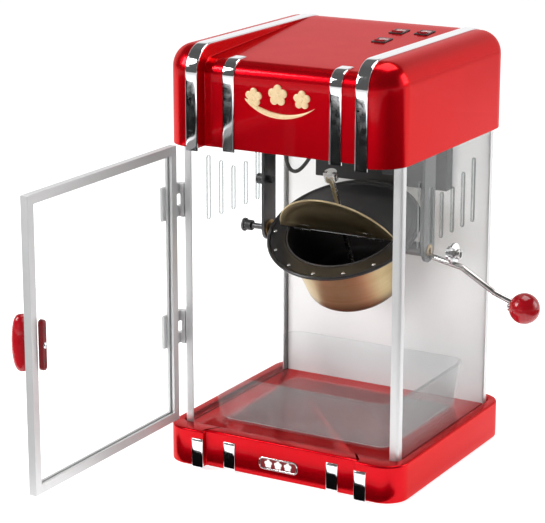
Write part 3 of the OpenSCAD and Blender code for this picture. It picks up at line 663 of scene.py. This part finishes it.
def hood_sheet():
    """Pressed hood: one smooth skin with a wall and cut-outs."""
    obj = raw_object("hood_sheet", hood_skin(), [RED])
    wall = obj.modifiers.new("wall", "SOLIDIFY")
    wall.thickness = HOOD_WALL * MM
    wall.offset = -1
    wall.use_even_offset = True
    apply_modifiers(obj)
    cut_out(obj, hood_cutters())
    finish_piece(obj, ["hood_shell"], sharp=32, bevel=0.35)


# Half a moulding's section, from its sunk edge towards its crown, in half widths and heights.
STRIP_EDGE = [(-1, 0.4), (-0.985, 0.68), (-0.94, 0.86), (-0.86, 0.95), (-0.7, 0.985), (-0.3, 0.998)]
STRIP_SINK = 0.35


def strip_pair(name, node, path, middle):
    """Mouldings along a path, left and right, crowned across, with their edges turned down."""
    across = [(-1, -STRIP_SINK)] + [(u, h * STRIP_T) for u, h in STRIP_EDGE]
    across += [(-u, h) for u, h in across[::-1]]
    shape = Shape()
    for x in (-middle, middle):
        shape.loft([[(x + u * STRIP_W / 2, p.x + n.x * h, p.y + n.y * h) for u, h in across]
                    for p, n in path])
    make(name, shape, CHROME, [node], sharp=50)


def hood_strips():
    """Long mouldings over the cheeks, and short ones that end a little way up the sloping top."""
    low = box_mm("hood_strips_outer")[0].z
    strip_pair("hood_moulding_outer", "hood_strips_outer", cheek_outline(bottom=low), OUTER_STRIP_X)
    end = box_mm("hood_strips_inner")[1].y
    inner = [(p, n) for p, n in centre_outline(bottom=low) if p.x < end - 6]
    last, normal = inner[-1]
    tip = last + Vector((1, math.tan(SLOPE))) * (end - last.x)
    inner += [(last.lerp(tip, k / 4), normal) for k in range(1, 5)]
    strip_pair("hood_moulding_inner", "hood_strips_inner", inner, INNER_STRIP_X)


# ---- emblem ----

def kernel_lobes(size):
    lobes = [(Vector((0, 0)), 0.7 * size)]
    for k in range(5):
        a = math.radians(18 + 72 * k)
        lobes.append((Vector((math.cos(a), math.sin(a))) * 0.75 * size, 0.55 * size))
    return lobes


def lobed_edge(lobes):
    """Outline round a cluster of discs, from its middle."""
    edge = []
    for a in around(60):
        d = Vector((math.cos(a), math.sin(a)))
        reach = 0
        for c, r in lobes:
            along, off = c.dot(d), abs(c.x * d.y - c.y * d.x)
            if off < r:
                reach = max(reach, along + math.sqrt(r * r - off * off))
        edge.append(d * reach)
    return edge


def kernel(shape, x, z, size, front, relief, mark=0):
    """Popped kernel in relief on an upright face, each lobe a little dome."""
    lobes = kernel_lobes(size)
    edge = lobed_edge(lobes)
    rings = [[(x + p.x, front + 0.3, z + p.y) for p in edge]]
    for level in (1.0, 0.985, 0.94, 0.84, 0.68, 0.5, 0.32, 0.15, 0.0):
        ring = []
        for p in edge:
            q = p * level
            dome = max(math.sqrt(max(0, 1 - (q - c).length_squared / (r * r))) for c, r in lobes)
            ring.append((x + q.x, front - relief * (0.35 + 0.65 * dome), z + q.y))
        rings.append(ring)
    return shape.loft(rings, mark)


def swoosh(shape, x0, x1, centre, r, thick, front, relief):
    """Crescent in relief that swells in its first third and ends in a point."""
    steps = 40
    rings = []
    for k in range(steps + 1):
        t = k / steps
        a = math.asin((x0 + (x1 - x0) * t - centre[0]) / r)
        swell = thick * math.sin(math.pi * t ** 0.62) ** 0.8 + 0.06
        ring = []
        for turn in around(12):
            reach, up = r + math.cos(turn) * swell / 2, math.sin(turn)
            lift = relief * min(1, swell / 1.5) * (up if up > 0 else 0.2 * up)
            ring.append((centre[0] + reach * math.sin(a), front - lift, centre[1] - reach * math.cos(a)))
        rings.append(ring)
    return shape.loft(rings)


def emblem():
    """Three popped kernels over a crescent, on the hood's front."""
    shape = Shape()
    for x, z, size in ((-30, 384, 7), (-4, 388, 8), (22, 386, 7)):
        kernel(shape, x, z, size, CENTRE_FRONT, 1.5)
    swoosh(shape, -40, 36, (0, 432), 64, 5.5, CENTRE_FRONT, 1.2)
    make("hood_emblem", shape, CREAM, ["hood_ornament"], sharp=60)


# ---- base ----

BASE_CORNER_R = 24
STEP_BEND = 1.4


def base_outline(inset):
    """Plan of the base, anticlockwise from its right: straight back, front with two cheeks."""
    x, back = BASE_HIGH.x - inset, BASE_HIGH.y - inset
    front, centre = BASE_LOW.y + inset, -BASE_HIGH.y + inset
    r, e = BASE_CORNER_R - inset, STEP_BEND
    cheek = CHEEK_X + inset * 0.9
    turn = [(e * math.sin(a), e * (1 - math.cos(a))) for a in (math.pi / 6, math.pi / 3)]
    side = [(cheek - e, centre)] + [(cheek - e + s, centre - c) for s, c in turn]
    side += [(cheek, centre - e), (cheek, front + e)]
    side += [(cheek + c, front + e - s) for s, c in turn] + [(cheek + e, front)]
    side += arc(x - r, front + r, r, -90, 0, 12) + arc(x - r, back - r, r, 0, 90, 12)
    whole = [(0, centre), (40, centre), (62, centre)] + side + [(60, back), (0, back)]
    return whole + [(-px, py) for px, py in whole[1:-1][::-1]]


def pocket_outline(plan, half_x, half_y, r):
    """Where rays from the middle through the plan's points meet a rounded rectangle."""
    out = []
    for x, y in plan:
        low, high = 0.0, 1.0
        for _ in range(30):
            mid = (low + high) / 2
            qx, qy = abs(x * mid) - half_x + r, abs(y * mid) - half_y + r
            gap = math.hypot(max(qx, 0), max(qy, 0)) + min(max(qx, qy), 0) - r
            low, high = (mid, high) if gap < 0 else (low, mid)
        out.append((x * low, y * low))
    return out


def base_tub():
    """Moulded base: hollow below, with a sunk floor for the cabinet."""
    z0, z1 = BASE_LOW.z, BASE_HIGH.z
    wall, lip = 2.5, 2.2
    levels = [(wall, FLOOR_Z - 3), (wall, z0 + 0.3), (wall - 0.4, z0), (1.0, z0), (0.3, z0 + 0.3),
              (0, z0 + 1.0), (0, z0 + 9), (0, z0 + 22), (0, z1 - lip)]
    turn = [math.radians(15 * k) for k in range(1, 7)]
    levels += [(lip * (1 - math.cos(a)), z1 - lip * (1 - math.sin(a))) for a in turn]
    rings = [[(x, y, z) for x, y in base_outline(inset)] for inset, z in levels]
    plan = base_outline(lip)
    half_x, half_y = CABINET[0] + 2, CABINET[1] + 3
    pocket = [(0.8, z1), (0.25, z1 - 0.25), (0, z1 - 0.8), (0, FLOOR_Z + 1), (-0.3, FLOOR_Z + 0.3),
              (-1, FLOOR_Z)]
    for grow, z in pocket:
        rings.append([(x, y, z) for x, y in pocket_outline(plan, half_x + grow, half_y + grow, 6 + grow)])
    make("base_tub", Shape().loft(rings), RED, ["base_shell"], sharp=38)


def base_strips():
    """Short mouldings down the base's front, turned in at both ends."""
    turned_in, straight = [(1.0, 0), (0.3, 0.25)], 0.8
    for node, middle in (("base_strips_outer", OUTER_STRIP_X), ("base_strips_inner", INNER_STRIP_X)):
        low, high = box_mm(node)
        length = high.z - low.z - 2 * straight
        path = [(high.y + d, low.z + h) for d, h in turned_in]
        path += [(high.y, low.z + straight + length * k / 6) for k in range(7)]
        path += [(high.y + d, high.z - h) for d, h in turned_in[::-1]]
        strip_pair("moulding_" + node, node, [(Vector(p), Vector((-1, 0))) for p in path], middle)


def base_badge():
    """Plain badge: a chrome bead round a red field with three small kernels."""
    low, high = box_mm("base_badge")
    face, r = high.y, 5

    def ring(inset, y):
        return [(x, y, z) for x, z in rounded_rect(low.xz, high.xz, inset, r - inset)]

    bead = [ring(1.0 - math.cos(a), face - (0.5 + 0.7 * math.sin(a))) for a in around(12)]
    shape = Shape().loft(bead, loop=True)
    field = [ring(inset, face - y) for inset, y in ((1.2, -0.2), (1.2, 0.5), (2.4, 0.62), (4, 0.66))]
    shape.loft(field, mark=1)
    mid_x, mid_z = (low.x + high.x) / 2, (low.z + high.z) / 2
    for k in (-1, 0, 1):
        kernel(shape, mid_x + 11 * k, mid_z, 3.4, face - 0.5, 0.65, mark=2)
    make("badge", shape, [CHROME, PLATE_RED, PRINT], ["base_badge"], sharp=60)


# ---- screws ----

def screw_head(r, height):
    """Pan head on Z with a cross recess, standing on the plane z = 0."""
    profile = [(1, 0), (1, 0.35), (0.93, 0.62), (0.78, 0.85), (0.6, 0.96)]
    profile += [(share, 1) for share in (0.5, 0.42, 0.34, 0.26, 0.18, 0.1)]
    rings = [[(0, 0, 0)] * 48]
    for share, level in profile:
        ring = []
        for a in around(48):
            x, y = r * share * math.cos(a), r * share * math.sin(a)
            recessed = share < 0.52 and min(abs(x), abs(y)) < r * 0.13
            ring.append((x, y, height * (level - 0.5 * recessed)))
        rings.append(ring)
    return Shape().loft(rings)


def put_screw(shape, at, direction, r, height, length, mark=0):
    """Stands a screw on a face, with its shank inside."""
    place = move(at) @ Vector(direction).to_track_quat("Z", "Y").to_matrix().to_4x4()
    shape.join(screw_head(r, height), place, mark)
    profile = [(0, -length), (r * 0.3, -length), (r * 0.5, -length + 0.8), (r * 0.5, 0.2), (0, 0.2)]
    return shape.join(Shape().revolve(profile, steps=20), place, mark)


def assembly_screws():
    """Pan heads of the hangers, under the hood, and of the back panel."""
    shape = Shape()
    back = box_mm("pillars_rear")[1].y - 1.6
    head = box_mm("screws")[1].y - back
    for x in (-70, 70):
        for z in (276, 322):
            put_screw(shape, (x, back, z), (0, 1, 0), 3, head, 10)
    for side in (-1, 1):
        for y in (-6, 6):
            put_screw(shape, (side * 80, PIVOT.y + y, HOOD_LOW.z - 2), (0, 0, -1), 3, 1.6, 7)
    make("pan_head_screws", shape, CHROME, ["screws"], sharp=30)


# ---- kettle ----

def jacket():
    """Spun outer bowl, with a small turned-in hem under the rim."""
    r, t, low, bottom_r = 16, 1.2, -62, 52
    profile = [(0, low + 1.6), (14, low + 1.2), (30, low + 0.2)]
    profile += arc(bottom_r - r, low + r, r, -90, -8.5, 10)
    profile += [(53.1, low + 22), (56.0, low + 42), (60.0, 5.5), (61.0, 9.5), (61.0, 10.6), (60.4, 11)]
    profile += [(60.4 - t, 11), (59.6, 5.5), (54.6, low + 42), (51.7, low + 22)]
    profile += arc(bottom_r - r, low + r, r - t, -8.5, -90, 10) + [(14, low + 2.4), (0, low + 2.8)]
    shape = Shape().join(Shape().revolve(profile, steps=96), KETTLE)
    make("kettle_bowl", shape, WARM_REFLECTION_STEEL, ["kettle_jacket"], sharp=50)


def pot():
    """Inner pot with a rounded floor corner."""
    floor, t, r = -53.4, 1.6, 10
    centre = 41, floor - t + r
    profile = [(0, floor - t), (40, floor - t)] + arc(*centre, r, -90, -8.5, 8)
    profile += [(58.6, 8), (59.8, 11), (59.8, 13.0), (59.2, 13.5), (58.4, 13.5), (57.9, 12.8), (57.0, 8)]
    profile += arc(*centre, r - t, -8.5, -90, 8) + [(0, floor)]
    shape = Shape().join(Shape().revolve(profile, steps=96), KETTLE)
    make("pot", shape, LINING, ["kettle_pot"], sharp=50)


def rim():
    """Flange with a rolled outer bead, riveted to the bowl."""
    profile = [(59.9, 11), (77.6, 11)] + arc(78.1, 12.7, 1.9, -60, 180, 12)
    profile += [(75.8, 13.6), (75.2, 13.45), (61.6, 13.45), (60.4, 13.2), (59.9, 12.6)]
    shape = Shape().revolve(profile, steps=128, loop=True)
    head = [(0, 13), (2.0, 13), (2.0, 13.7), (1.6, 14.1), (0.9, 14.35), (0, 14.4)]
    for k in range(7):
        a = math.radians(-165 + 25 * k)
        spot = move((72.4 * math.cos(a), 72.4 * math.sin(a), 0))
        shape.join(Shape().revolve(head, steps=20), spot, 1)
    make("kettle_flange", Shape().join(shape, KETTLE), [ENAMEL, STEEL], ["kettle_rim"], sharp=50)


def barrel(shape, x0, x1, y, z, outer, inner, mark):
    """Hinge barrel along X with a bore."""
    e = 0.3
    length = x1 - x0
    loop = [(inner, 0), (outer - e, 0), (outer, e), (outer, length - e), (outer - e, length),
            (inner, length)]
    tube = Shape().revolve(loop, steps=32, loop=True)
    return shape.join(tube, move((x0, y, z)) @ TO_X, mark)


def pressed_grid(r, chord, z, columns=48, rows=14):
    """Upper face of the half-round flap, its field pressed up inside a flat edge."""
    half = math.sqrt(r * r - chord * chord)
    grid = []
    for i in range(columns + 1):
        x = half * math.sin(math.pi / 2 * (2 * i / columns - 1))
        edge = -math.sqrt(max(r * r - x * x, chord * chord))
        line = []
        for j in range(rows + 1):
            y = chord + (edge - chord) * j / rows
            rim_gap = min(r - math.hypot(x, y), chord - y)
            press = min(max((rim_gap - 4.5) / 4, 0), 1)
            line.append((x, y, z + 0.9 * press * press * (3 - 2 * press)))
        grid.append(line)
    return grid


def thick_sheet(grid, t):
    """Closed sheet of thickness t under a grid of points."""
    columns, rows = len(grid) - 1, len(grid[0]) - 1
    n = rows + 1
    faces = [[i * n + j, i * n + j + 1, (i + 1) * n + j + 1, (i + 1) * n + j]
             for i in range(columns) for j in range(rows)]
    top = [p for line in grid for p in line]
    count = len(top)
    rim_ids = [i * n for i in range(columns + 1)] + [columns * n + j for j in range(1, n)]
    rim_ids += [i * n + rows for i in range(columns - 1, -1, -1)] + list(range(rows - 1, 0, -1))
    faces += [[i + count for i in face[::-1]] for face in faces]
    faces += [[a, b, b + count, a + count] for a, b in zip(rim_ids, rim_ids[1:] + rim_ids[:1])]
    return Shape().add(top + [(x, y, z - t) for x, y, z in top], faces)


def flap():
    """Half-round flap: a sheet with a pressed field, a rolled edge and two hinge barrels."""
    r, chord, z0, t = 66.2, -14.2, 14.0, 1.0
    sheet = thick_sheet(pressed_grid(r, chord, z0 + t), t)
    turn = math.degrees(math.asin(-chord / r))
    bead = [Vector((x, y, z0 + 0.7)) for x, y in arc(0, 0, r, 180 + turn, 360 - turn, 48)]
    sheet.sweep(bead, 0.95, sides=12)
    y, z = LID_AXIS.yz
    for x0 in (-41, 31):
        barrel(sheet, x0, x0 + 10, y, z, 2.5, 1.6, mark=1)
        sheet.slab((x0 + 0.4, y - 9, z0 + 0.1), (x0 + 9.6, y - 1.6, z0 + 1.6), 0.3, mark=1)
    make("kettle_flap", Shape().join(sheet, LID), [STRAW, STEEL], ["front_lid"], sharp=45)


# ---- crank ----

def crank_rod(ball):
    """Bent rod from the kettle to the ball, with a clamped collar outside the panel."""
    start, panel = box_mm("crank_rod")[0].x, box_mm("side_panel_right")[1].x
    across = Vector((0, ball.y - PIVOT.y, ball.z - PIVOT.z))
    spots = (start, 0), (CRANK_BENDS[0], 0), (CRANK_BENDS[1], 1), (ball.x, 1)
    line = [Vector((x, PIVOT.y, PIVOT.z)) + across * share for x, share in spots]
    shape = Shape().sweep(rounded_path(line, (13, 12), 14), 3, sides=24)
    collar = Shape().revolve([(3, 0), (4.6, 0), (5, 0.4), (5, 4.6), (4.6, 5), (3, 5)], steps=40, loop=True)
    shape.join(collar, move((panel + 3.5, PIVOT.y, PIVOT.z)) @ TO_X)
    put_screw(shape, (panel + 6, PIVOT.y, PIVOT.z + 4.8), (0, 0, 1), 1.6, 0.8, 2)
    make("crank_handle_rod", shape, STEEL, ["crank_rod"], sharp=45)


def ball_knob(ball, r):
    """Moulded ball with a flat at its neck, on a chrome ferrule."""
    neck = 5.2
    neck_angle = math.degrees(math.acos(neck / r))
    profile = [(0, -r + 1.4), (3.2, -r + 1.4), (neck - 0.4, -r + 0.6)]
    knob = Shape().revolve(profile + arc(0, 0, r, -neck_angle + 0.5, 90, 40), steps=72)
    ring = [(3, -1.6), (4.2, -1.6), (4.7, -1.1), (4.7, 1.6), (3, 1.6)]
    ferrule = Shape().revolve(ring, steps=40, loop=True)
    turn = move(ball) @ TO_X
    shape = Shape().join(knob, turn)
    shape.join(ferrule, turn @ move((0, 0, -r + 0.3)), 1)
    make("ball_knob", shape, [KNOB_RED, CHROME], ["crank_ball"], sharp=40)


def crank():
    low, high = box_mm("crank_ball")
    crank_rod((low + high) / 2)
    ball_knob((low + high) / 2, (high.x - low.x) / 2)


# ---- door ----

def door_pull():
    """Upright oval pull on the outer face."""
    low, high = box_mm("door_handle")
    middle = (low + high) / 2
    tall, wide = (high.z - low.z) / 2, (high.y - low.y) / 2
    rings = []
    for k in range(33):
        a = math.pi * k / 32 - math.pi / 2
        z = middle.z + tall * math.sin(a)
        r = wide * max(math.cos(a), 0) ** 0.62
        rings.append([(high.x - wide + r * 0.98 * math.cos(t), middle.y + r * math.sin(t), z)
                      for t in around(40)])
    shape = Shape().loft(rings, caps=False)
    boss = Shape().revolve([(0, -7), (6.4, -7), (6.4, -1.2), (7.2, 0), (0, 0)], steps=36)
    shape.join(boss, move((high.x, middle.y, middle.z)) @ TO_X)
    make("pull", shape, KNOB_RED, ["door_handle"], sharp=50)


def pull_plate():
    """Plate that clamps the pull from inside, with its screw and two sunk plugs."""
    low, high = box_mm("handle_plate")
    r = (high.y - low.y) / 2
    rings = []
    for inset, x in ((0.3, 0), (0, 0.3), (0, 3.2), (0.35, 4.2), (1.2, 4.8), (2.2, 5.0)):
        ring = rounded_rect(low.yz, high.yz, inset, r * 0.98 - inset)
        rings.append([(low.x + x, y, z) for y, z in ring])
    plate = Shape().loft(rings)
    mid = (low + high) / 2
    put_screw(plate, (high.x - 0.15, mid.y, mid.z), (1, 0, 0), 2.9, 1.2, 4, mark=1)
    profile = [(0, -0.6), (2.2, -0.6), (2.2, 0.12), (1.7, 0.2), (1.5, -0.3), (0, -0.35)]
    for side in (-1, 1):
        spot = move((high.x - 0.1, mid.y, mid.z + side * 14.5)) @ TO_X
        plate.join(Shape().revolve(profile, steps=28), spot, 2)
    make("pull_plate", plate, [PLATE_RED, CHROME, PLASTIC], ["handle_plate"], sharp=45)


def hinge_screws():
    """Two small pan heads on each of the door's hinge leaves."""
    low, high = box_mm("door_knuckles")
    leaf, margin = 34, 5
    shape = Shape()
    for z0 in (low.z, high.z - leaf):
        for z in (z0 + margin, z0 + leaf - margin):
            spot, out = DOOR @ Vector((11, -2.4, z)), DOOR.to_3x3() @ Vector((0, -1, 0))
            put_screw(shape, spot, out, 2.2, 1.0, 3)
    make("hinge_screws", shape, CHROME, body="door", slot="chrome", sharp=30)


# ---- tray ----

def tray():
    """Clear bin with a foot ring, drafted walls and a rolled rim."""
    low, high = box_mm("tray")
    z0, z1 = low.z, high.z
    foot = [(15, 0.8), (13, 0.6), (11.5, 0), (9.5, 0), (7.6, 0.9), (6.3, 3), (5.8, 7)]
    rim_out = [(1.75, -3.4), (1.4, -3.0), (0.3, -2.9), (0, -2.5), (0, -0.8), (0.3, -0.2)]
    rim_in = [(0.9, 0), (2.6, 0), (3.3, -0.3), (3.6, -1.0)]
    inside = [(7.8, 7), (8.4, 4), (10, 2.4), (13, 2)]
    levels = [(inset, z0 + h) for inset, h in foot] + [(inset, z1 + h) for inset, h in rim_out + rim_in]
    levels += [(inset, z0 + h) for inset, h in inside]
    rings = [[(x, y, z) for x, y in rounded_rect(low, high, inset, max(16 - inset * 0.6, 8))]
             for inset, z in levels]
    make("clear_bin", Shape().loft(rings), TRAY_CLEAR, ["tray"], sharp=40)


# ---- small parts ----

def heater_lead():
    """Sleeved lead in a smooth loop between its two glands."""
    points = [Vector(p) for p in (
        (-68, 6, 331), (-68, 6, 318), (-67, 6, 304), (-65, 7, 291), (-61, 9, 284), (-55, 11, 284),
        (-48, 13, 291), (-42, 15, 301), (-37, 16, 312), (-34, 16, 324), (-34, 16, 331))]
    path = []
    for i in range(len(points) - 1):
        a, b = points[max(i - 1, 0)], points[i]
        c, d = points[i + 1], points[min(i + 2, len(points) - 1)]
        for t in (k / 5 for k in range(5)):
            path.append(0.5 * (2 * b + (c - a) * t + (2 * a - 5 * b + 4 * c - d) * t * t
                               + (3 * b - a - 3 * c + d) * t ** 3))
    lead = Shape().sweep(path + [points[-1]], 1.95, sides=14)
    make("sleeved_lead", lead, SLEEVE, ["heater_lead"], sharp=60)


def lamp():
    """Bulb with a metal cap."""
    low, high = box_mm("lamp_bulb")
    mid_x, mid_y = (low.x + high.x) / 2, (low.y + high.y) / 2
    r, neck = (high.x - low.x) / 2, 7.8
    centre = low.z + r
    join = math.degrees(math.asin(neck / r))
    glass = arc(0, 0, r, -90, 90 - join - 6, 24)
    glass += [(neck * 1.02, r * 1.02), (neck, r * 1.25), (0, r * 1.25)]
    cap = [(0, r * 1.1), (neck * 1.01, r * 1.1)]
    for k in range(6):
        z = r * 1.15 + k * 2.2
        cap += [(neck * 1.02, z), (neck * 0.93, z + 1.2)]
    cap += [(neck * 0.9, high.z - centre), (0, high.z - centre)]
    shape = Shape().revolve(glass, steps=48).revolve(cap, mark=1, steps=48)
    shape = Shape().join(shape, move((mid_x, mid_y, centre)))
    make("lamp", shape, [BULB, ZINC], ["lamp_bulb"], sharp=40)


def rocker_marks():
    """A dash and a ring on each rocker, the usual marks for on and off."""
    lean, out, height = math.atan2(1.1, 7), 3.6, 2.88
    wire = [(1.35 + 0.3 * math.cos(a), 0.14 * math.sin(a)) for a in around(8)]
    ring = Shape().revolve(wire, steps=32, loop=True)
    dash = Shape().slab((-0.35, -1.6, -0.1), (0.35, 1.6, 0.14), 0.06)
    for k, node in enumerate(ROCKERS):
        tilt = switch_frame(k) @ move((0, 0, -1.5)) @ Matrix.Rotation(math.radians(-7), 4, "X")
        shape = Shape()
        for mark, side in ((dash, 1), (ring, -1)):
            spot = move((0, side * out, height)) @ Matrix.Rotation(side * lean, 4, "X")
            shape.join(mark, tilt @ spot)
        make("marks_" + node, shape, PRINT, body=node, slot="red_gloss", sharp=60)


def clear_panel(node):
    """CAD panel, its cut edges slightly milky."""
    low, high = box_mm(node)
    thin = min(range(3), key=lambda i: high[i] - low[i])
    shape = cad_shape(node)
    for k, face in enumerate(shape.faces):
        a, b, c = (shape.verts[i] for i in face[:3])
        normal = (b - a).cross(c - a)
        if normal.length and abs(normal.normalized()[thin]) < 0.9:
            shape.marks[k] = 1
    make("pane_" + node, shape, [ACRYLIC, ACRYLIC_EDGE], [node], sharp=40)


SOFTENED = {
    "base_plate": (ZINC, 0.2), "feet": (RUBBER, 0.4), "foot_screws": (CHROME, 0.2),
    "pillars_front": (ALUMINIUM, 0.35), "pillars_rear": (ALUMINIUM, 0.35), "back_panel": (WHITE, 0.25),
    "hood_ceiling": (WHITE, 0.25), "switch_bezels": (PLASTIC, 0.3), "switch_bodies": (PLASTIC, 0.3),
    **dict.fromkeys(ROCKERS, (KNOB_RED, 0.45)),
    "hanger_left": (DARK, 0.3), "hanger_right": (DARK, 0.3), "pivot_bushes": (BRONZE, 0.2),
    "panel_bush": (CHROME, 0.4), "pivot_cap": (PLASTIC, 0.3), "thumb_screw": (PLASTIC, 0.3),
    "rear_shroud": (PLASTIC, 0.4), "lead_glands": (PLASTIC, 0.4), "lamp_holder": (PLASTIC, 0.4),
    "motor": (CAN, 0.6), "gearbox": (CAST, 0.5), "drive_bush": (BRONZE, 0.3), "drive_shaft": (ZINC, 0.25),
    "power_inlet": (PLASTIC, 0.3), "hinge_blocks": (ALUMINIUM, 0.35), "hinge_pins": (CHROME, 0.3),
    "magnet_catch": (PLASTIC, 0.5), "door_frame": (ALUMINIUM, 0.4), "door_knuckles": (ALUMINIUM, 0.3),
    "rear_lid": (ENAMEL, 0.35), "lid_bush": (BRONZE, 0.3), "lid_pin": (CHROME, 0.2),
    "heater_plate": (CAST, 0.5), "trunnions": (DARK, 0.4), "stirrer": (STEEL, 0.25),
}


def softened_nodes():
    """CAD forms that are right as they are, with their edges softened and their own finish."""
    for node, (material, width) in SOFTENED.items():
        make(node + "_part", cad_shape(node), material, [node], sharp=30, bevel=width)


# ---- studio ----

def camera():
    data = bpy.data.cameras.new("camera")
    data.sensor_width = 36
    data.lens = 138.7
    data.clip_start = 0.05
    obj = placed("camera", data)
    obj.location = (0.9571, -1.8110, 0.7571)
    obj.rotation_euler = (math.pi / 2 - 0.2665, -0.0006, 0.5196)
    bpy.context.scene.camera = obj


def glow(paint, strength):
    paint.shader.inputs["Emission Color"].default_value = (1, 1, 1, 1)
    paint.shader.inputs["Emission Strength"].default_value = strength


def floor():
    """Wide pale disc just under the feet, lit a little from within so that it stays white."""
    radius, sides = 9000, 64
    rings = [[(r * math.cos(a), r * math.sin(a), -0.02) for a in around(sides)]
             for r in (radius * share for share in (0.001, 0.05, 0.2, 1))]
    shape = Shape().loft(rings, caps=False).add(rings[0], [list(range(sides))])
    p = Paint("pale_floor")
    p.colour(p.noise(2, 2), (0.90, 0.90, 0.90), (0.93, 0.93, 0.93))
    p.rough(p.noise(8, 2), 0.55, 0.65)
    glow(p, 0.62)
    raw_object("floor", shape, [p.material])


def soft_light(name, place, aim, size, power):
    """Soft box at a place in metres, turned towards aim."""
    data = bpy.data.lights.new(name, "AREA")
    data.shape = "RECTANGLE"
    data.size, data.size_y = size
    data.energy = power
    obj = placed(name, data)
    obj.location = place
    obj.rotation_euler = (Vector(aim) - Vector(place)).to_track_quat("-Z", "Y").to_euler()
    return obj


def studio_world():
    """White backdrop behind the part, dark room overhead and behind the camera."""
    world = bpy.data.worlds.new("studio")
    bpy.context.scene.world = world
    world.use_nodes = True
    tree = world.node_tree
    spot = tree.nodes.new("ShaderNodeTexCoord")
    split = tree.nodes.new("ShaderNodeSeparateXYZ")
    tree.links.new(spot.outputs["Generated"], split.inputs[0])
    backdrop = ranged(tree, split.outputs["Y"], -0.15, 0.35, 0.0, 1.0, "SMOOTHSTEP")
    low_part = ranged(tree, split.outputs["Z"], 0.35, 0.65, 1.0, 0.12, "SMOOTHSTEP")
    both = tree.nodes.new("ShaderNodeMath")
    both.operation = "MULTIPLY"
    tree.links.new(backdrop, both.inputs[0])
    tree.links.new(low_part, both.inputs[1])
    level = ranged(tree, both.outputs[0], 0.0, 1.0, 0.10, 1.0, "SMOOTHSTEP")
    tree.links.new(level, tree.nodes["Background"].inputs["Color"])


def floor_card(name, x0, x1, y0, y1, light=0.0):
    """Sheet just over the floor, placed in metres, that shows only in gloss: black, or glowing. It paints a dark
    reflection into glossy parts, or a bright one where it glows.
    """
    shape = Shape().slab((x0 / MM, y0 / MM, 0.5), (x1 / MM, y1 / MM, 2.5), 0.9)
    p = Paint(name + "_face", roughness=1.0, specular_ior_level=0.0)
    p.colour(p.noise(8, 2), (0.004, 0.004, 0.004), (0.007, 0.007, 0.007))
    if light:
        glow(p, light)
    obj = raw_object(name, shape, [p.material])
    obj.visible_camera = obj.visible_diffuse = obj.visible_shadow = obj.visible_transmission = False


def studio():
    floor()
    studio_world()
    soft_light("key", (-1.9, -1.7, 1.7), (0, 0, 0.25), (1.2, 1.2), 60)
    soft_light("top", (0.1, 0.5, 2.4), (0, 0, 0.3), (1.6, 1.6), 34)
    soft_light("side", (2.1, 1.3, 1.1), (0, 0, 0.3), (1.2, 1.4), 20)
    soft_light("front_fill", (-0.3, -2.4, 0.55), (0, 0, 0.2), (1.4, 0.8), 22).visible_glossy = False
    floor_card("dark_front", -2.4, 0.45, -1.98, -0.45)
    floor_card("dark_right", 0.45, 2.6, -1.9, 0.75)
    floor_card("dark_near", -0.2, 0.16, -0.17, -0.131)
    floor_card("bright_right", 0.3, 1.7, 1.1, 1.75, 1.4)
    bpy.context.scene.view_settings.view_transform = "Standard"


camera()
hood_sheet()
hood_strips()
emblem()
base_tub()
base_strips()
base_badge()
assembly_screws()
jacket()
pot()
rim()
flap()
crank()
door_pull()
pull_plate()
hinge_screws()
tray()
heater_lead()
lamp()
rocker_marks()
for panel in ("side_panel_left", "side_panel_right", "door_pane"):
    clear_panel(panel)
softened_nodes()
studio()
